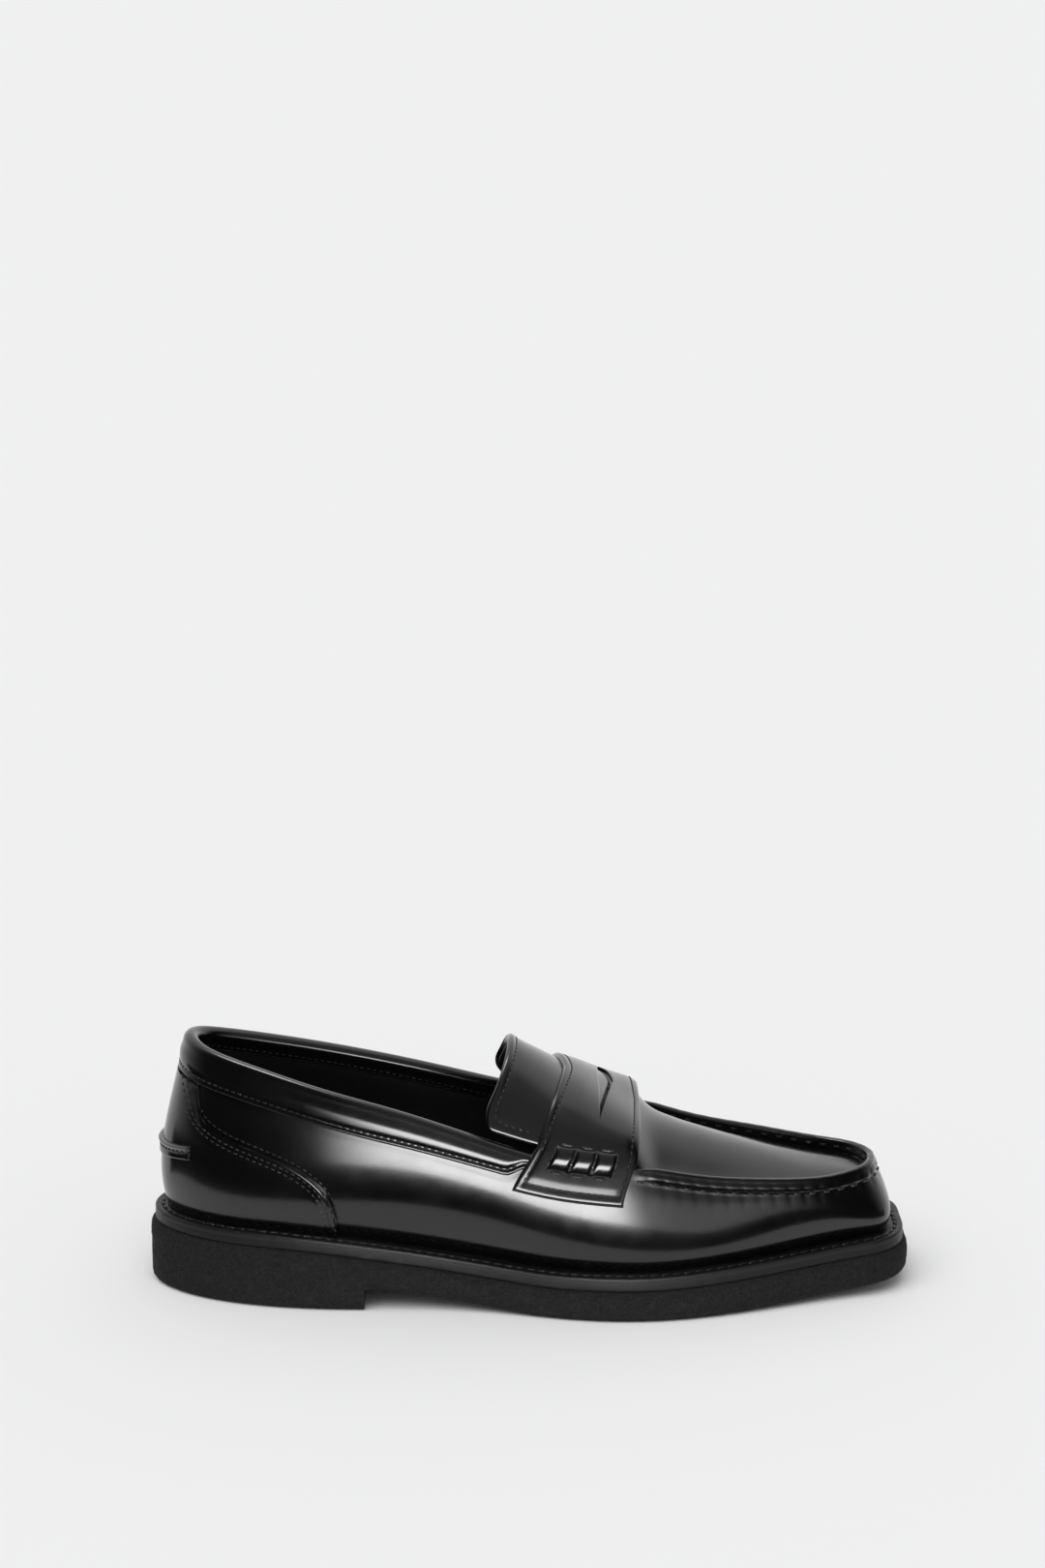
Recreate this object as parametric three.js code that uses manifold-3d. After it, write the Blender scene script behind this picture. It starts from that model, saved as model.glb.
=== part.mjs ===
// Penny loafer, right shoe. Millimetres, +Z up, +X toward the toe, -Y the lateral (outer) side.
// The origin is the middle of the sole's plan, on the ground.
import * as THREE from 'three';
import Module from 'manifold-3d';

const wasm = await Module();
wasm.setup();

// ---------------------------------------------------------------- driving dimensions
const GAP = 0.3;              // clearance kept between touching pieces
const LIFT = 0.45;            // clearance under leather that is laid over other leather
const LEATHER = 1.6;          // outer leather
const LINING_DEPTH = 3.4;     // lining face below the outer surface
const LINING = 1.2;           // lining leather
const OVERLAY = 1.2;          // counter, tab and collar leather laid over the quarters
const SHELF = 6.5;            // welt shelf from the sole edge to the upper
const WELT = 2.1;             // welt thickness
const BAND = 5.4;             // welt and midsole together, the smooth band of the edge
const SOLE = 12;              // outsole thickness
const FLARE = 1.8;            // how far the sole bulges below its top edge
const EDGE_ROUND = 3.4;       // rounding of the tread's edge
const HEEL_BREAST = -64;      // front face of the heel block
// Samples between stations, from the heel to the toe: finer where the outline turns.
const HALF_SAMPLES = [3, 3, 2, 2, 2, 2, 2, 2, 2, 2, 2, 2, 3, 3];

const SLOT_HALF_WIDTH = 3;    // penny slot at the crest
const SLOT_REACH = 0.62;      // girth at which the slot's two ends close
const RIDGE = 3.6;            // height of the moccasin ridge over the apron
const RIDGE_WIDTH = 3.2;
const STRAP = 1.8;            // saddle strap leather
const STRAP_END = 1.29;       // girth of the strap's lower ends
const STRAP_REAR_CREST = 13.2;
const STRAP_FRONT_CREST = 43;
const TONGUE_REAR_CREST = -8;
const TONGUE_REACH = 0.92;    // girth of the tongue's lower edges
const COLLAR_ROLL = 3;        // radius of the padded topline

// Stations around the last, from the back of the heel by the lateral side to the toe and back:
// sole edge x, y, then the upper's rim (topline, then moccasin seam) x, y, z.
const STATIONS = [
  [-148.2, 0.0, -133.5, 0.0, 102.0], [-143.5, -13.0, -131.0, -9.0, 101.2],
  [-128.0, -25.5, -122.0, -16.8, 98.6], [-104.0, -34.0, -103.0, -24.0, 94.0],
  [-75.0, -37.6, -77.0, -30.0, 87.3], [-45.0, -37.8, -47.0, -33.5, 79.7],
  [-15.0, -40.5, -17.0, -36.3, 70.3], [14.0, -47.0, 12.0, -39.5, 62.8],
  [42.0, -49.4, 40.0, -39.5, 58.8], [70.0, -44.8, 66.0, -35.0, 53.0],
  [97.0, -35.8, 91.0, -30.2, 49.8], [122.0, -26.8, 114.0, -23.5, 48.0],
  [140.0, -20.2, 129.0, -14.5, 48.3], [147.6, -9.0, 135.0, -6.5, 48.7],
  [147.9, 4.0, 136.5, 2.0, 48.8], [146.8, 17.0, 134.5, 9.5, 48.8],
  [139.0, 26.0, 127.0, 17.5, 48.6], [121.0, 34.5, 112.0, 25.0, 48.4],
  [96.0, 42.3, 90.0, 31.5, 50.2], [68.0, 48.2, 65.0, 36.0, 53.5],
  [41.0, 49.4, 39.0, 40.0, 59.3], [13.0, 45.5, 12.0, 39.5, 63.4],
  [-16.0, 38.0, -17.0, 35.6, 70.9], [-46.0, 34.8, -47.0, 31.0, 79.7],
  [-76.0, 36.5, -77.0, 27.0, 87.3], [-104.5, 33.8, -103.0, 21.5, 93.6],
  [-128.0, 25.5, -122.0, 15.6, 98.2], [-143.5, 13.0, -131.0, 8.6, 101.0],
];

// Crest of the instep: x, z along the middle of the arch.
const CREST = [[-34, 110.5], [-20, 104.5], [-6, 97.5], [13, 86.2], [28, 77], [43, 69], [62, 61.6],
  [80, 56], [100, 50.4], [122, 46.4]];
// Upper edge of the heel counter: x, z, from the collar down to the welt.
const COUNTER_EDGE = [[-131, 90], [-128, 77], [-118, 70], [-103, 64.7], [-89, 58.5], [-79.5, 49], [-75, 33]];
// Bulge of the wall, by x: how far its lower and upper handles reach out and up.
const WALL_X = [-148, -80, -20, 45, 100, 148];
const LOW_OUT = [6.5, 9, 11, 5, 4.5, 4];
const LOW_UP = [22, 20, 16, 8, 7, 7];
const TOP_OUT = [5, 7, 7, 6, 5, 5];
const TOP_UP = [30, 26, 20, 17, 14, 12];

// ---------------------------------------------------------------- small helpers
const vec = (x, y, z) => new THREE.Vector3(x, y, z);
const UP = vec(0, 0, 1);
const mix = THREE.MathUtils.lerp;
const ramp = (x, from, to) => THREE.MathUtils.smoothstep(x, from, to);
const along = (n, from = 0, to = 1) =>
  Array.from({ length: n + 1 }, (_, i) => (n ? mix(from, to, i / n) : from));

function table(xs, ys, x) {
  if (x <= xs[0]) return ys[0];
  for (let i = 1; i < xs.length; i++) {
    if (x <= xs[i]) return mix(ys[i - 1], ys[i], (x - xs[i - 1]) / (xs[i] - xs[i - 1]));
  }
  return ys[ys.length - 1];
}

// All values of t at which the shoe is sampled, from -1 to 2, so that every layer bends alike.
const LATTICE = [-1, 0, 1].flatMap((lap) => {
  const counts = [...HALF_SAMPLES, ...[...HALF_SAMPLES].reverse()];
  return counts.flatMap((n, i) => along(n - 1, 0, (n - 1) / n).map((f) => lap + (i + f) / counts.length));
});

// The lattice between two turns, ends included.
function turns(from, to) {
  const margin = 0.003;
  const inside = LATTICE.filter((t) => t > from + margin && t < to - margin);
  return [from, ...inside, to];
}

// Solves f(s) = target for a rising f by halving.
function solve(f, target, low, high) {
  const rising = f(high) > f(low);
  for (let k = 0; k < 40; k++) {
    const middle = (low + high) / 2;
    if ((f(middle) < target) === rising) low = middle; else high = middle;
  }
  return (low + high) / 2;
}

const ring = (pick) => new THREE.CatmullRomCurve3(STATIONS.map(pick), true, 'catmullrom', 0.5);
const soleCurve = ring((s) => vec(s[0], s[1], 0));
const rimCurve = ring((s) => vec(s[2], s[3], s[4]));
const crestCurve = new THREE.CatmullRomCurve3(CREST.map(([x, z]) => vec(x, 0, z)), false, 'catmullrom', 0.5);
const wrap = (t) => ((t % 1) + 1) % 1;
const sole = (t) => soleCurve.getPoint(wrap(t));
const rim = (t) => rimCurve.getPoint(wrap(t));

function outward(t) {
  const d = sole(t + 1e-3).sub(sole(t - 1e-3));
  return vec(d.y, -d.x, 0).normalize();
}

// ---------------------------------------------------------------- heights of the sole
function treadZ(x) {
  const arch = 8.6 * (1 - ramp(x, -72, 14)) + Math.max(0, -72 - x) * 0.022;
  return arch + 5.6 * Math.max(0, (x - 55) / 95) ** 1.7;
}

function weltZ(x) {
  const heel = 12.3 * (1 - ramp(x, -108, 16)) + Math.max(0, -108 - x) * 0.01;
  return 17.7 + heel + 5.8 * Math.max(0, (x - 45) / 105) ** 1.35;
}

// ---------------------------------------------------------------- the surface of the upper
// Wall: t runs round the shoe, v from the welt (0) to the rim (1).
function feather(t) {
  const p = sole(t).addScaledVector(outward(t), -SHELF);
  return p.setZ(weltZ(p.x) + GAP);
}

function wall(t, v) {
  const foot = feather(t);
  const top = rim(t);
  const out = outward(t);
  const low = foot.clone().addScaledVector(out, table(WALL_X, LOW_OUT, foot.x))
    .addScaledVector(UP, table(WALL_X, LOW_UP, foot.x));
  const high = top.clone().addScaledVector(out, table(WALL_X, TOP_OUT, foot.x))
    .addScaledVector(UP, -table(WALL_X, TOP_UP, foot.x));
  return new THREE.CubicBezierCurve3(foot, low, high, top).getPoint(v);
}

// Crest point over the middle of the shoe for a pair of rim points t and 1 - t.
function crest(t) {
  const a = rim(t);
  const b = rim(1 - t);
  const middle = (a.x + b.x) / 2;
  const x = middle - 14 * Math.max(0, (middle - 60) / 76.5) ** 2;
  const last = CREST.length - 1;
  const s = solve((k) => crestCurve.getPoint(k).x, THREE.MathUtils.clamp(x, CREST[0][0], CREST[last][0]), 0, 1);
  const p = crestCurve.getPoint(s);
  const slope = crestCurve.getTangent(s);
  return { p: p.setY((a.y + b.y) / 2), slope: slope.z / slope.x };
}

// Where the moccasin ridge stands: 0 under the strap, 1 ahead of it.
const pinch = (x) => ramp(x, 38, 52);

// Arch: from the crest (g = 0) to the rim (g = 1) on the side of t.
function arch(t, g) {
  const { p, slope } = crest(t);
  const top = rim(t);
  const inward = p.clone().sub(top).setZ(0).normalize();
  const ridge = pinch(top.x);
  const end = top.clone().addScaledVector(inward, RIDGE_WIDTH * ridge).addScaledVector(UP, -RIDGE * ridge);
  const reach = Math.hypot(p.x - end.x, p.y - end.y);
  const rise = vec(0, 0, 0).addScaledVector(outward(t), -table(WALL_X, TOP_OUT, top.x))
    .addScaledVector(UP, table(WALL_X, TOP_UP, top.x)).normalize();
  const flat = inward.clone().multiplyScalar(0.97).addScaledVector(UP, 0.24);
  const start = rise.lerp(flat, ridge).normalize();
  const nearCrest = p.clone().addScaledVector(inward, -0.5 * reach);
  nearCrest.z -= slope * inward.x * 0.5 * reach;
  const nearRim = end.clone().addScaledVector(start, mix(0.36, 0.3, ridge) * reach);
  return new THREE.CubicBezierCurve3(p, nearCrest, nearRim, end).getPoint(g);
}

// Girth of the forepart: g = 0 the crest, 1 the rim, 2 the welt. t past the toe is the medial side.
const girth = (t, g) => (g <= 1 ? arch(t, g) : wall(t, 2 - g));

function normal(surface, t, s) {
  const h = 1e-3;
  const side = s > h ? s - h : s;
  const across = surface(t, side + h).sub(surface(t, side));
  const round = surface(t + h, side).sub(surface(t - h, side));
  const n = surface === wall ? round.cross(across) : across.cross(round);
  return n.normalize();
}

function wallAt(t, v, depth) {
  return wall(t, v).addScaledVector(normal(wall, t, v), depth);
}

function girthAt(t, g, depth) {
  if (g > 1) return wallAt(t, 2 - g, depth);
  if (g < 0.02) {
    const { p, slope } = crest(t);
    return p.addScaledVector(vec(-slope, 0, 1).normalize(), depth);
  }
  return arch(t, g).addScaledVector(normal(arch, t, g), depth);
}

// t on one side (side = -1 lateral, 1 medial) where the girth line g reaches x.
function turnAt(x, g, side = -1) {
  const t = solve((k) => girth(side < 0 ? k : 1 - k, g).x, x, 0.12, 0.46);
  return side < 0 ? t : 1 - t;
}

// v at a distance below the rim, measured along the wall.
function below(t, distance) {
  const n = 40;
  let left = distance;
  let p = wall(t, 1);
  for (let i = 1; i <= n; i++) {
    const q = wall(t, 1 - i / n);
    const step = q.distanceTo(p);
    if (step >= left) return 1 - (i - 1 + left / step) / n;
    left -= step;
    p = q;
  }
  return 0;
}

const heightV = (t, z) => solve((v) => wall(t, v).z, z, 0, 1);

// ---------------------------------------------------------------- solids
// Builds one closed mesh from corner points and faces, welding equal corners.
function closedMesh(points, faces) {
  const keys = new Map();
  const position = [];
  const index = points.map((p) => {
    const key = `${Math.round(p.x * 2e3)},${Math.round(p.y * 2e3)},${Math.round(p.z * 2e3)}`;
    if (!keys.has(key)) {
      keys.set(key, position.length / 3);
      position.push(p.x, p.y, p.z);
    }
    return keys.get(key);
  });
  const kept = faces.map((f) => f.map((i) => index[i])).filter(([a, b, c]) => a !== b && b !== c && c !== a);
  const corner = (i) => vec(position[3 * i], position[3 * i + 1], position[3 * i + 2]);
  const volume = kept.reduce((sum, [a, b, c]) => sum + corner(a).dot(corner(b).cross(corner(c))), 0);
  if (volume < 0) kept.forEach((f) => f.reverse());
  const geometry = new THREE.BufferGeometry();
  geometry.setAttribute('position', new THREE.Float32BufferAttribute(position, 3));
  geometry.setIndex(kept.flat());
  geometry.computeVertexNormals();
  return geometry;
}

// Closed solid between two grids of points. `round` closes it on itself along the first index;
// `slit` leaves the last column open, where the two halves of the grid meet at the crest.
function between(outer, inner, { round = false, slit = false } = {}) {
  const rows = outer.length;
  const columns = outer[0].length;
  const points = [...outer.flat(), ...inner.flat()];
  const at = (side, i, j) => side * rows * columns + (i % rows) * columns + j;
  const faces = [];
  const quad = (a, b, c, d) => faces.push([a, b, c], [a, c, d]);
  for (let i = 0; i < (round ? rows : rows - 1); i++) {
    for (let j = 0; j < columns - 1; j++) {
      quad(at(0, i, j), at(0, i + 1, j), at(0, i + 1, j + 1), at(0, i, j + 1));
      quad(at(1, i, j), at(1, i, j + 1), at(1, i + 1, j + 1), at(1, i + 1, j));
    }
    quad(at(0, i, 0), at(1, i, 0), at(1, i + 1, 0), at(0, i + 1, 0));
    const e = columns - 1;
    if (!slit) quad(at(0, i, e), at(0, i + 1, e), at(1, i + 1, e), at(1, i, e));
  }
  if (!round) {
    for (let j = 0; j < columns - 1; j++) {
      quad(at(0, 0, j), at(0, 0, j + 1), at(1, 0, j + 1), at(1, 0, j));
      const e = rows - 1;
      quad(at(0, e, j), at(1, e, j), at(1, e, j + 1), at(0, e, j + 1));
    }
  }
  return closedMesh(points, faces);
}

const grid = (us, vs, point) => us.map((u, i) => vs.map((v, j) => point(u, v, i, j)));
// A leather piece: the same grid of surface points at two depths.
const skin = (us, vs, point, top, bottom, options) =>
  between(grid(us, vs, (u, v) => point(u, v, top)), grid(us, vs, (u, v) => point(u, v, bottom)), options);

// A solid through a stack of rings, closed by ladders of faces across its two ends.
function stack(rings) {
  const n = rings[0].length;
  const faces = [];
  for (let k = 0; k < rings.length - 1; k++) {
    for (let i = 0; i < n; i++) {
      const a = k * n + i;
      const b = k * n + ((i + 1) % n);
      faces.push([a, b, b + n], [a, b + n, a + n]);
    }
  }
  const lid = (base, flip) => {
    for (let i = 0; i < n / 2; i++) {
      const far = (k) => base + ((n - k) % n);
      const rung = [[base + i, base + i + 1, far(i + 1)], [base + i, far(i + 1), far(i)]];
      rung.forEach(([a, b, c]) => faces.push(flip ? [a, c, b] : [a, b, c]));
    }
  };
  lid(0, true);
  lid((rings.length - 1) * n, false);
  return closedMesh(rings.flat(), faces);
}

// A thread laid on a surface: a square section along points with their normals.
function thread(places, normals, size, round = false) {
  const n = places.length;
  const sections = places.map((p, i) => {
    const ahead = places[round ? (i + 1) % n : Math.min(i + 1, n - 1)];
    const behind = places[round ? (i + n - 1) % n : Math.max(i - 1, 0)];
    const across = ahead.clone().sub(behind).cross(normals[i]).normalize().multiplyScalar(size / 2);
    const foot = p.clone().addScaledVector(normals[i], GAP);
    const head = p.clone().addScaledVector(normals[i], GAP + size);
    return [foot.clone().add(across), foot.sub(across), head.clone().sub(across), head.add(across)];
  });
  const outer = sections.map(([a, , , d]) => [a, d]);
  const inner = sections.map(([, b, c]) => [b, c]);
  return between(outer, inner, { round });
}

function toManifold(geometry) {
  const mesh = new wasm.Mesh({
    numProp: 3,
    vertProperties: new Float32Array(geometry.attributes.position.array),
    triVerts: new Uint32Array(geometry.index.array),
  });
  return new wasm.Manifold(mesh);
}

function cut(geometry, cutter) {
  const mesh = toManifold(geometry).subtract(toManifold(cutter)).getMesh();
  const result = new THREE.BufferGeometry();
  result.setAttribute('position', new THREE.Float32BufferAttribute(mesh.vertProperties, 3));
  result.setIndex(Array.from(mesh.triVerts));
  result.computeVertexNormals();
  return result;
}

// ---------------------------------------------------------------- materials and the group
const loafer = new THREE.Group();
const shine = (color) => new THREE.MeshStandardMaterial({ color, roughness: 0.18, metalness: 0 });
const matt = (color, roughness = 0.85) => new THREE.MeshStandardMaterial({ color, roughness, metalness: 0 });
const steel = new THREE.MeshStandardMaterial({ color: 0x9a9c9e, roughness: 0.4, metalness: 1 });

function add(name, geometry, material) {
  const mesh = new THREE.Mesh(geometry, material);
  mesh.name = name;
  loafer.add(mesh);
}

// ---------------------------------------------------------------- bottom unit
const perimeter = LATTICE.filter((t) => t >= 0 && t < 1);

// One ring of points: a distance inside (+) or outside (-) the sole edge, at a height.
function soleRing(inset, height, ts = perimeter) {
  return ts.map((t) => {
    const p = sole(t).addScaledVector(outward(t), -inset);
    return p.setZ(height(p.x));
  });
}

function makeOutsole() {
  const top = (x) => weltZ(x) - BAND - GAP;
  const bottom = (x) => (x < HEEL_BREAST ? Math.max(treadZ(x), weltZ(x) - BAND - SOLE) : treadZ(x));
  const middle = (x) => mix(bottom(x), top(x), 0.45);
  return stack([
    soleRing(EDGE_ROUND - FLARE, bottom),
    soleRing(-FLARE, (x) => bottom(x) + EDGE_ROUND),
    soleRing(-FLARE, middle),
    soleRing(-0.5, top),
  ]);
}

// The heel block follows the sole's plan behind its flat front face.
function makeHeelBlock() {
  const half = along(22, 0, 0.16);
  const front = solve((t) => sole(t).x, HEEL_BREAST, 0, 0.25);
  const ts = half.map((t) => (t / 0.16) * front);
  const ring = (inset, height) => {
    const lateral = soleRing(inset, height, ts);
    const medial = soleRing(inset, height, ts.map((t) => wrap(1 - t)));
    [lateral, medial].forEach((points) => points.forEach((p) => {
      p.x = Math.min(p.x, HEEL_BREAST);
    }));
    return [...lateral, ...medial.slice(1).reverse()];
  };
  const seat = (x) => treadZ(x) - GAP;
  const rings = [
    ring(EDGE_ROUND - FLARE, () => 0),
    ring(0.6 - FLARE, () => EDGE_ROUND * 0.4),
    ring(-FLARE, () => EDGE_ROUND),
    ring(-FLARE, seat),
  ];
  return stack(rings.map((points) => (points.length % 2 ? [...points, points[points.length - 1].clone()] : points)));
}

function makeMidsole() {
  return stack([
    soleRing(-0.5, (x) => weltZ(x) - BAND),
    soleRing(0, (x) => weltZ(x) - WELT - GAP),
  ]);
}

function makeWelt() {
  const ringOf = (inset, drop) => soleRing(inset, (x) => weltZ(x) - drop);
  const outer = perimeter.map((_, i) => [ringOf(0, WELT)[i], ringOf(0, 0)[i]]);
  const inner = perimeter.map((_, i) => [ringOf(SHELF + 4, WELT)[i], ringOf(SHELF + 4, 0)[i]]);
  return between(outer, inner, { round: true });
}

function makeWeltStitching() {
  const places = soleRing(SHELF / 2, (x) => weltZ(x));
  return thread(places, places.map(() => UP), 0.9, true);
}

function layer(inset, low, high) {
  return stack([soleRing(inset, (x) => weltZ(x) + low), soleRing(inset, (x) => weltZ(x) + high)]);
}

// The shank lies in a pocket of the filler that is open upward, to the insole board.
function makeShank(grow = 0, top = 0.5) {
  const rows = along(10, -96 - grow, 8 + grow);
  const sides = along(2, -7 - grow, 7 + grow);
  const at = (drop) => (x, y) => vec(x, y, weltZ(x) - drop);
  return between(grid(rows, sides, at(top)), grid(rows, sides, at(1.6 + grow)));
}

const fillerInset = SHELF + 4 + GAP;
const boardInset = SHELF + 6;
const sockRise = (x) => 2.5 + 2.4 * (1 - ramp(x, -90, -40));

add('outsole', makeOutsole(), matt(0x1b1c1e));
add('heel_block', makeHeelBlock(), matt(0x1b1c1e));
add('midsole', makeMidsole(), matt(0x141416, 0.45));
add('welt', makeWelt(), matt(0x121214, 0.4));
add('welt_stitching', makeWeltStitching(), matt(0x0c0c0d, 0.7));
add('cork_filler', cut(layer(fillerInset, -WELT, -0.1), makeShank(GAP, -1)), matt(0x8a6a45));
add('shank', makeShank(), steel);
add('insole_board', layer(boardInset, 0.2, 2.2), matt(0xb59a6d));
add('insock', stack([
  soleRing(boardInset, (x) => weltZ(x) + sockRise(x)),
  soleRing(boardInset, (x) => weltZ(x) + sockRise(x) + LINING),
]), matt(0x0d0d0e, 0.6));
add('heel_pad', makeHeelPad(), matt(0x3b3b3d));

// Foam under the insock, behind the arch.
function makeHeelPad() {
  const rows = along(8, -128, -78);
  const halfWidth = (x) => 18 * Math.sqrt(Math.max(0.12, 1 - ((x + 103) / 27) ** 2));
  const at = (rise) => (x, s) => vec(x, s * halfWidth(x), weltZ(x) + rise(x));
  const sides = along(2, -1, 1);
  return between(grid(rows, sides, at((x) => sockRise(x) - GAP)), grid(rows, sides, at(() => 2.5)));
}

// ---------------------------------------------------------------- quarters, counter and collar
const VAMP_REAR = 20;         // the vamp and the quarters meet here, under the strap
const collarHeight = (x) => mix(mix(14.6, 11, ramp(x, -70, 10)), 6.5, ramp(x, -15, -8));
const collarFoot = (t) => below(t, collarHeight(rim(t).x));
const vampTurn = turnAt(VAMP_REAR, 1);
const seamTurn = 0.0006;      // half the gap of the back seam

function makeQuarter(sign) {
  const ts = turns(seamTurn, vampTurn - 0.0012).map((t) => (sign < 0 ? t : 1 - t));
  const point = (t, s, depth) => wallAt(t, s * below(t, COLLAR_ROLL + GAP), depth);
  return skin(ts, along(6), point, 0, -LEATHER);
}

function makeQuarterLining() {
  const reach = turnAt(5, 1);
  const point = (t, s, depth) => wallAt(t, s * below(t, 3 * COLLAR_ROLL + GAP), depth);
  return skin(turns(-reach, reach), along(5, 0.02), point, -LINING_DEPTH, -LINING_DEPTH - LINING);
}

const counterTop = (t) => {
  const x = wall(t, 0.5).x;
  const xs = COUNTER_EDGE.map((p) => p[0]);
  const foot = collarFoot(t) - 0.012;
  if (x < xs[0]) return foot;
  return Math.min(foot, heightV(t, table(xs, COUNTER_EDGE.map((p) => p[1]), x)));
};

// The counter's front edge falls steeply, so the sampling is finer there.
function counterTurns(reach) {
  const near = [0.004, 0.009, 0.015];
  const side = turns(0, reach).slice(1).filter((t) => t < reach - 0.02);
  const half = [...side, ...near.map((d) => reach - d).reverse(), reach];
  return [...half.map((t) => -t).reverse(), 0, ...half];
}

function makeCounterOverlay() {
  const reach = solve((t) => wall(t, 0.3).x, -75, 0.02, 0.25);
  const point = (t, s, depth) => wallAt(t, 0.01 + s * (counterTop(t) - 0.01), depth);
  return skin(counterTurns(reach), along(5), point, LIFT + OVERLAY, LIFT);
}

function makeCounterStiffener() {
  const reach = solve((t) => wall(t, 0.3).x, -70, 0.02, 0.25);
  const top = (t) => mix(below(t, 15), 0.45, Math.abs(t) / reach);
  const point = (t, s, depth) => wallAt(t, 0.02 + s * (top(t) - 0.02), depth);
  return skin(turns(-reach, reach), along(4), point, -LEATHER - GAP, -LINING_DEPTH + GAP);
}

function makeHeelTab() {
  const point = (t, s, depth) => wallAt(t, heightV(t, mix(52, 58.5, s)), depth);
  return skin(turns(-0.062, 0.062), along(2), point, 2 * (LIFT + OVERLAY), 2 * LIFT + OVERLAY);
}

// The collar is an inverted channel: an outer leg, a roll over the rim and an inner leg.
function makeCollarBand() {
  const reach = turnAt(6, 1);
  const ts = turns(-reach, reach);
  const bend = along(4, 0, Math.PI);
  const section = (t, skinDepth, innerLeg) => {
    const vFoot = collarFoot(t);
    const vShoulder = below(t, COLLAR_ROLL);
    const n = normal(wall, t, vShoulder);
    const climb = wall(t, 1).sub(wall(t, vShoulder)).normalize();
    const legOut = along(2).map((s) => wallAt(t, mix(vFoot, vShoulder, s), LIFT + OVERLAY - skinDepth));
    const middle = (LIFT + OVERLAY - LINING_DEPTH - LINING) / 2;
    const half = (LIFT + OVERLAY + LINING_DEPTH + LINING) / 2 - skinDepth;
    const roll = bend.slice(1, -1).map((a) => wall(t, vShoulder)
      .addScaledVector(n, middle + half * Math.cos(a))
      .addScaledVector(climb, (COLLAR_ROLL - skinDepth) * Math.sin(a)));
    const legIn = along(1).map((s) => wallAt(t, below(t, mix(COLLAR_ROLL, innerLeg, s)), -LINING_DEPTH - LINING + skinDepth));
    return [...legOut, ...roll, ...legIn];
  };
  const legEnd = 3 * COLLAR_ROLL;
  return between(ts.map((t) => section(t, 0, legEnd)), ts.map((t) => section(t, OVERLAY, legEnd)));
}

function makeCollarFoam() {
  const reach = turnAt(-4, 1);
  const point = (t, s, depth) => wallAt(t, below(t, mix(collarHeight(rim(t).x), COLLAR_ROLL + GAP, s)), depth);
  return skin(turns(-reach, reach), along(2), point, -LEATHER - GAP, -LINING_DEPTH + GAP);
}

add('quarter_lateral', makeQuarter(-1), shine(0x0d0d0f));
add('quarter_medial', makeQuarter(1), shine(0x0d0d0f));
add('quarter_lining', makeQuarterLining(), matt(0x17171a, 0.55));
add('counter_overlay', makeCounterOverlay(), shine(0x0b0b0d));
add('counter_stiffener', makeCounterStiffener(), matt(0xd8cdb5));
add('heel_tab', makeHeelTab(), shine(0x0b0b0d));
add('collar_band', makeCollarBand(), shine(0x0d0d0f));
add('collar_foam', makeCollarFoam(), matt(0x55565a));

// ---------------------------------------------------------------- vamp, apron and toe
const toeTurns = (x) => {
  const t = turnAt(x, 1);
  return turns(t, 1 - t);
};

// The vamp wall ends in the ridge that the apron is sewn into.
function makeVamp() {
  const ts = turns(vampTurn, 1 - vampTurn);
  const rows = [...along(5)];
  const face = (t, depth) => {
    const body = rows.map((v) => wallAt(t, v * 0.97, depth));
    return body;
  };
  const lip = (t, depth) => {
    const top = rim(t);
    const inward = crest(t).p.sub(top).setZ(0).normalize();
    const ridge = pinch(top.x);
    const width = depth ? mix(LEATHER, RIDGE_WIDTH - GAP, ridge) : 0;
    return top.addScaledVector(inward, width).addScaledVector(UP, depth ? -0.3 : 0);
  };
  const sheet = (depth) => ts.map((t) => [...face(t, depth), lip(t, depth)]);
  return between(sheet(0), sheet(-LEATHER));
}

function makeApron() {
  const ts = toeTurns(STRAP_REAR_CREST + 1);
  const point = (t, g, depth) => girthAt(t, g * 0.95, depth);
  return skin(ts, [...along(4, 1, 0)], point, 0, -LEATHER, { slit: true });
}

function makeToePuff() {
  const ts = toeTurns(100);
  const gs = [1.9, 1.6, 1.28, 0.92, 0.7];
  const point = (t, g, depth) => girthAt(t, g, depth);
  return skin(ts, gs, point, -LEATHER - GAP, -LINING_DEPTH + GAP);
}

function makeVampLining() {
  const ts = toeTurns(8);
  const gs = [1.94, 1.6, 1.28, 0.92, 0.7, 0.4, 0];
  return skin(ts, gs, (t, g, depth) => girthAt(t, g, depth), -LINING_DEPTH, -LINING_DEPTH - LINING, { slit: true });
}

add('vamp', makeVamp(), shine(0x0d0d0f));
add('apron', makeApron(), shine(0x0d0d0f));
add('toe_puff', makeToePuff(), matt(0xc9bda3));
add('vamp_lining', makeVampLining(), matt(0x17171a, 0.55));

// ---------------------------------------------------------------- saddle strap, slot and beef rolls
const strapRear = (g) => STRAP_REAR_CREST - 11.4 * Math.abs(g) ** 1.4 - 3.4 * ramp(Math.abs(g), 0.9, STRAP_END);
const strapFront = (g) => STRAP_FRONT_CREST - 2.2 * Math.abs(g) - 4 * ramp(Math.abs(g), 0.9, STRAP_END);
const strapSeat = (g) => mix(2, 0.5, ramp(Math.abs(g), 1.12, STRAP_END - 0.02));

// Point on the strap: g signed by side, s from the rear edge (0) to the front edge (1).
function strapAt(g, s, depth) {
  const x = mix(strapRear(g), strapFront(g), s);
  const t = turnAt(x, Math.abs(g), g < 0 ? -1 : 1);
  return girthAt(t, Math.abs(g), strapSeat(g) + depth);
}

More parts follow.
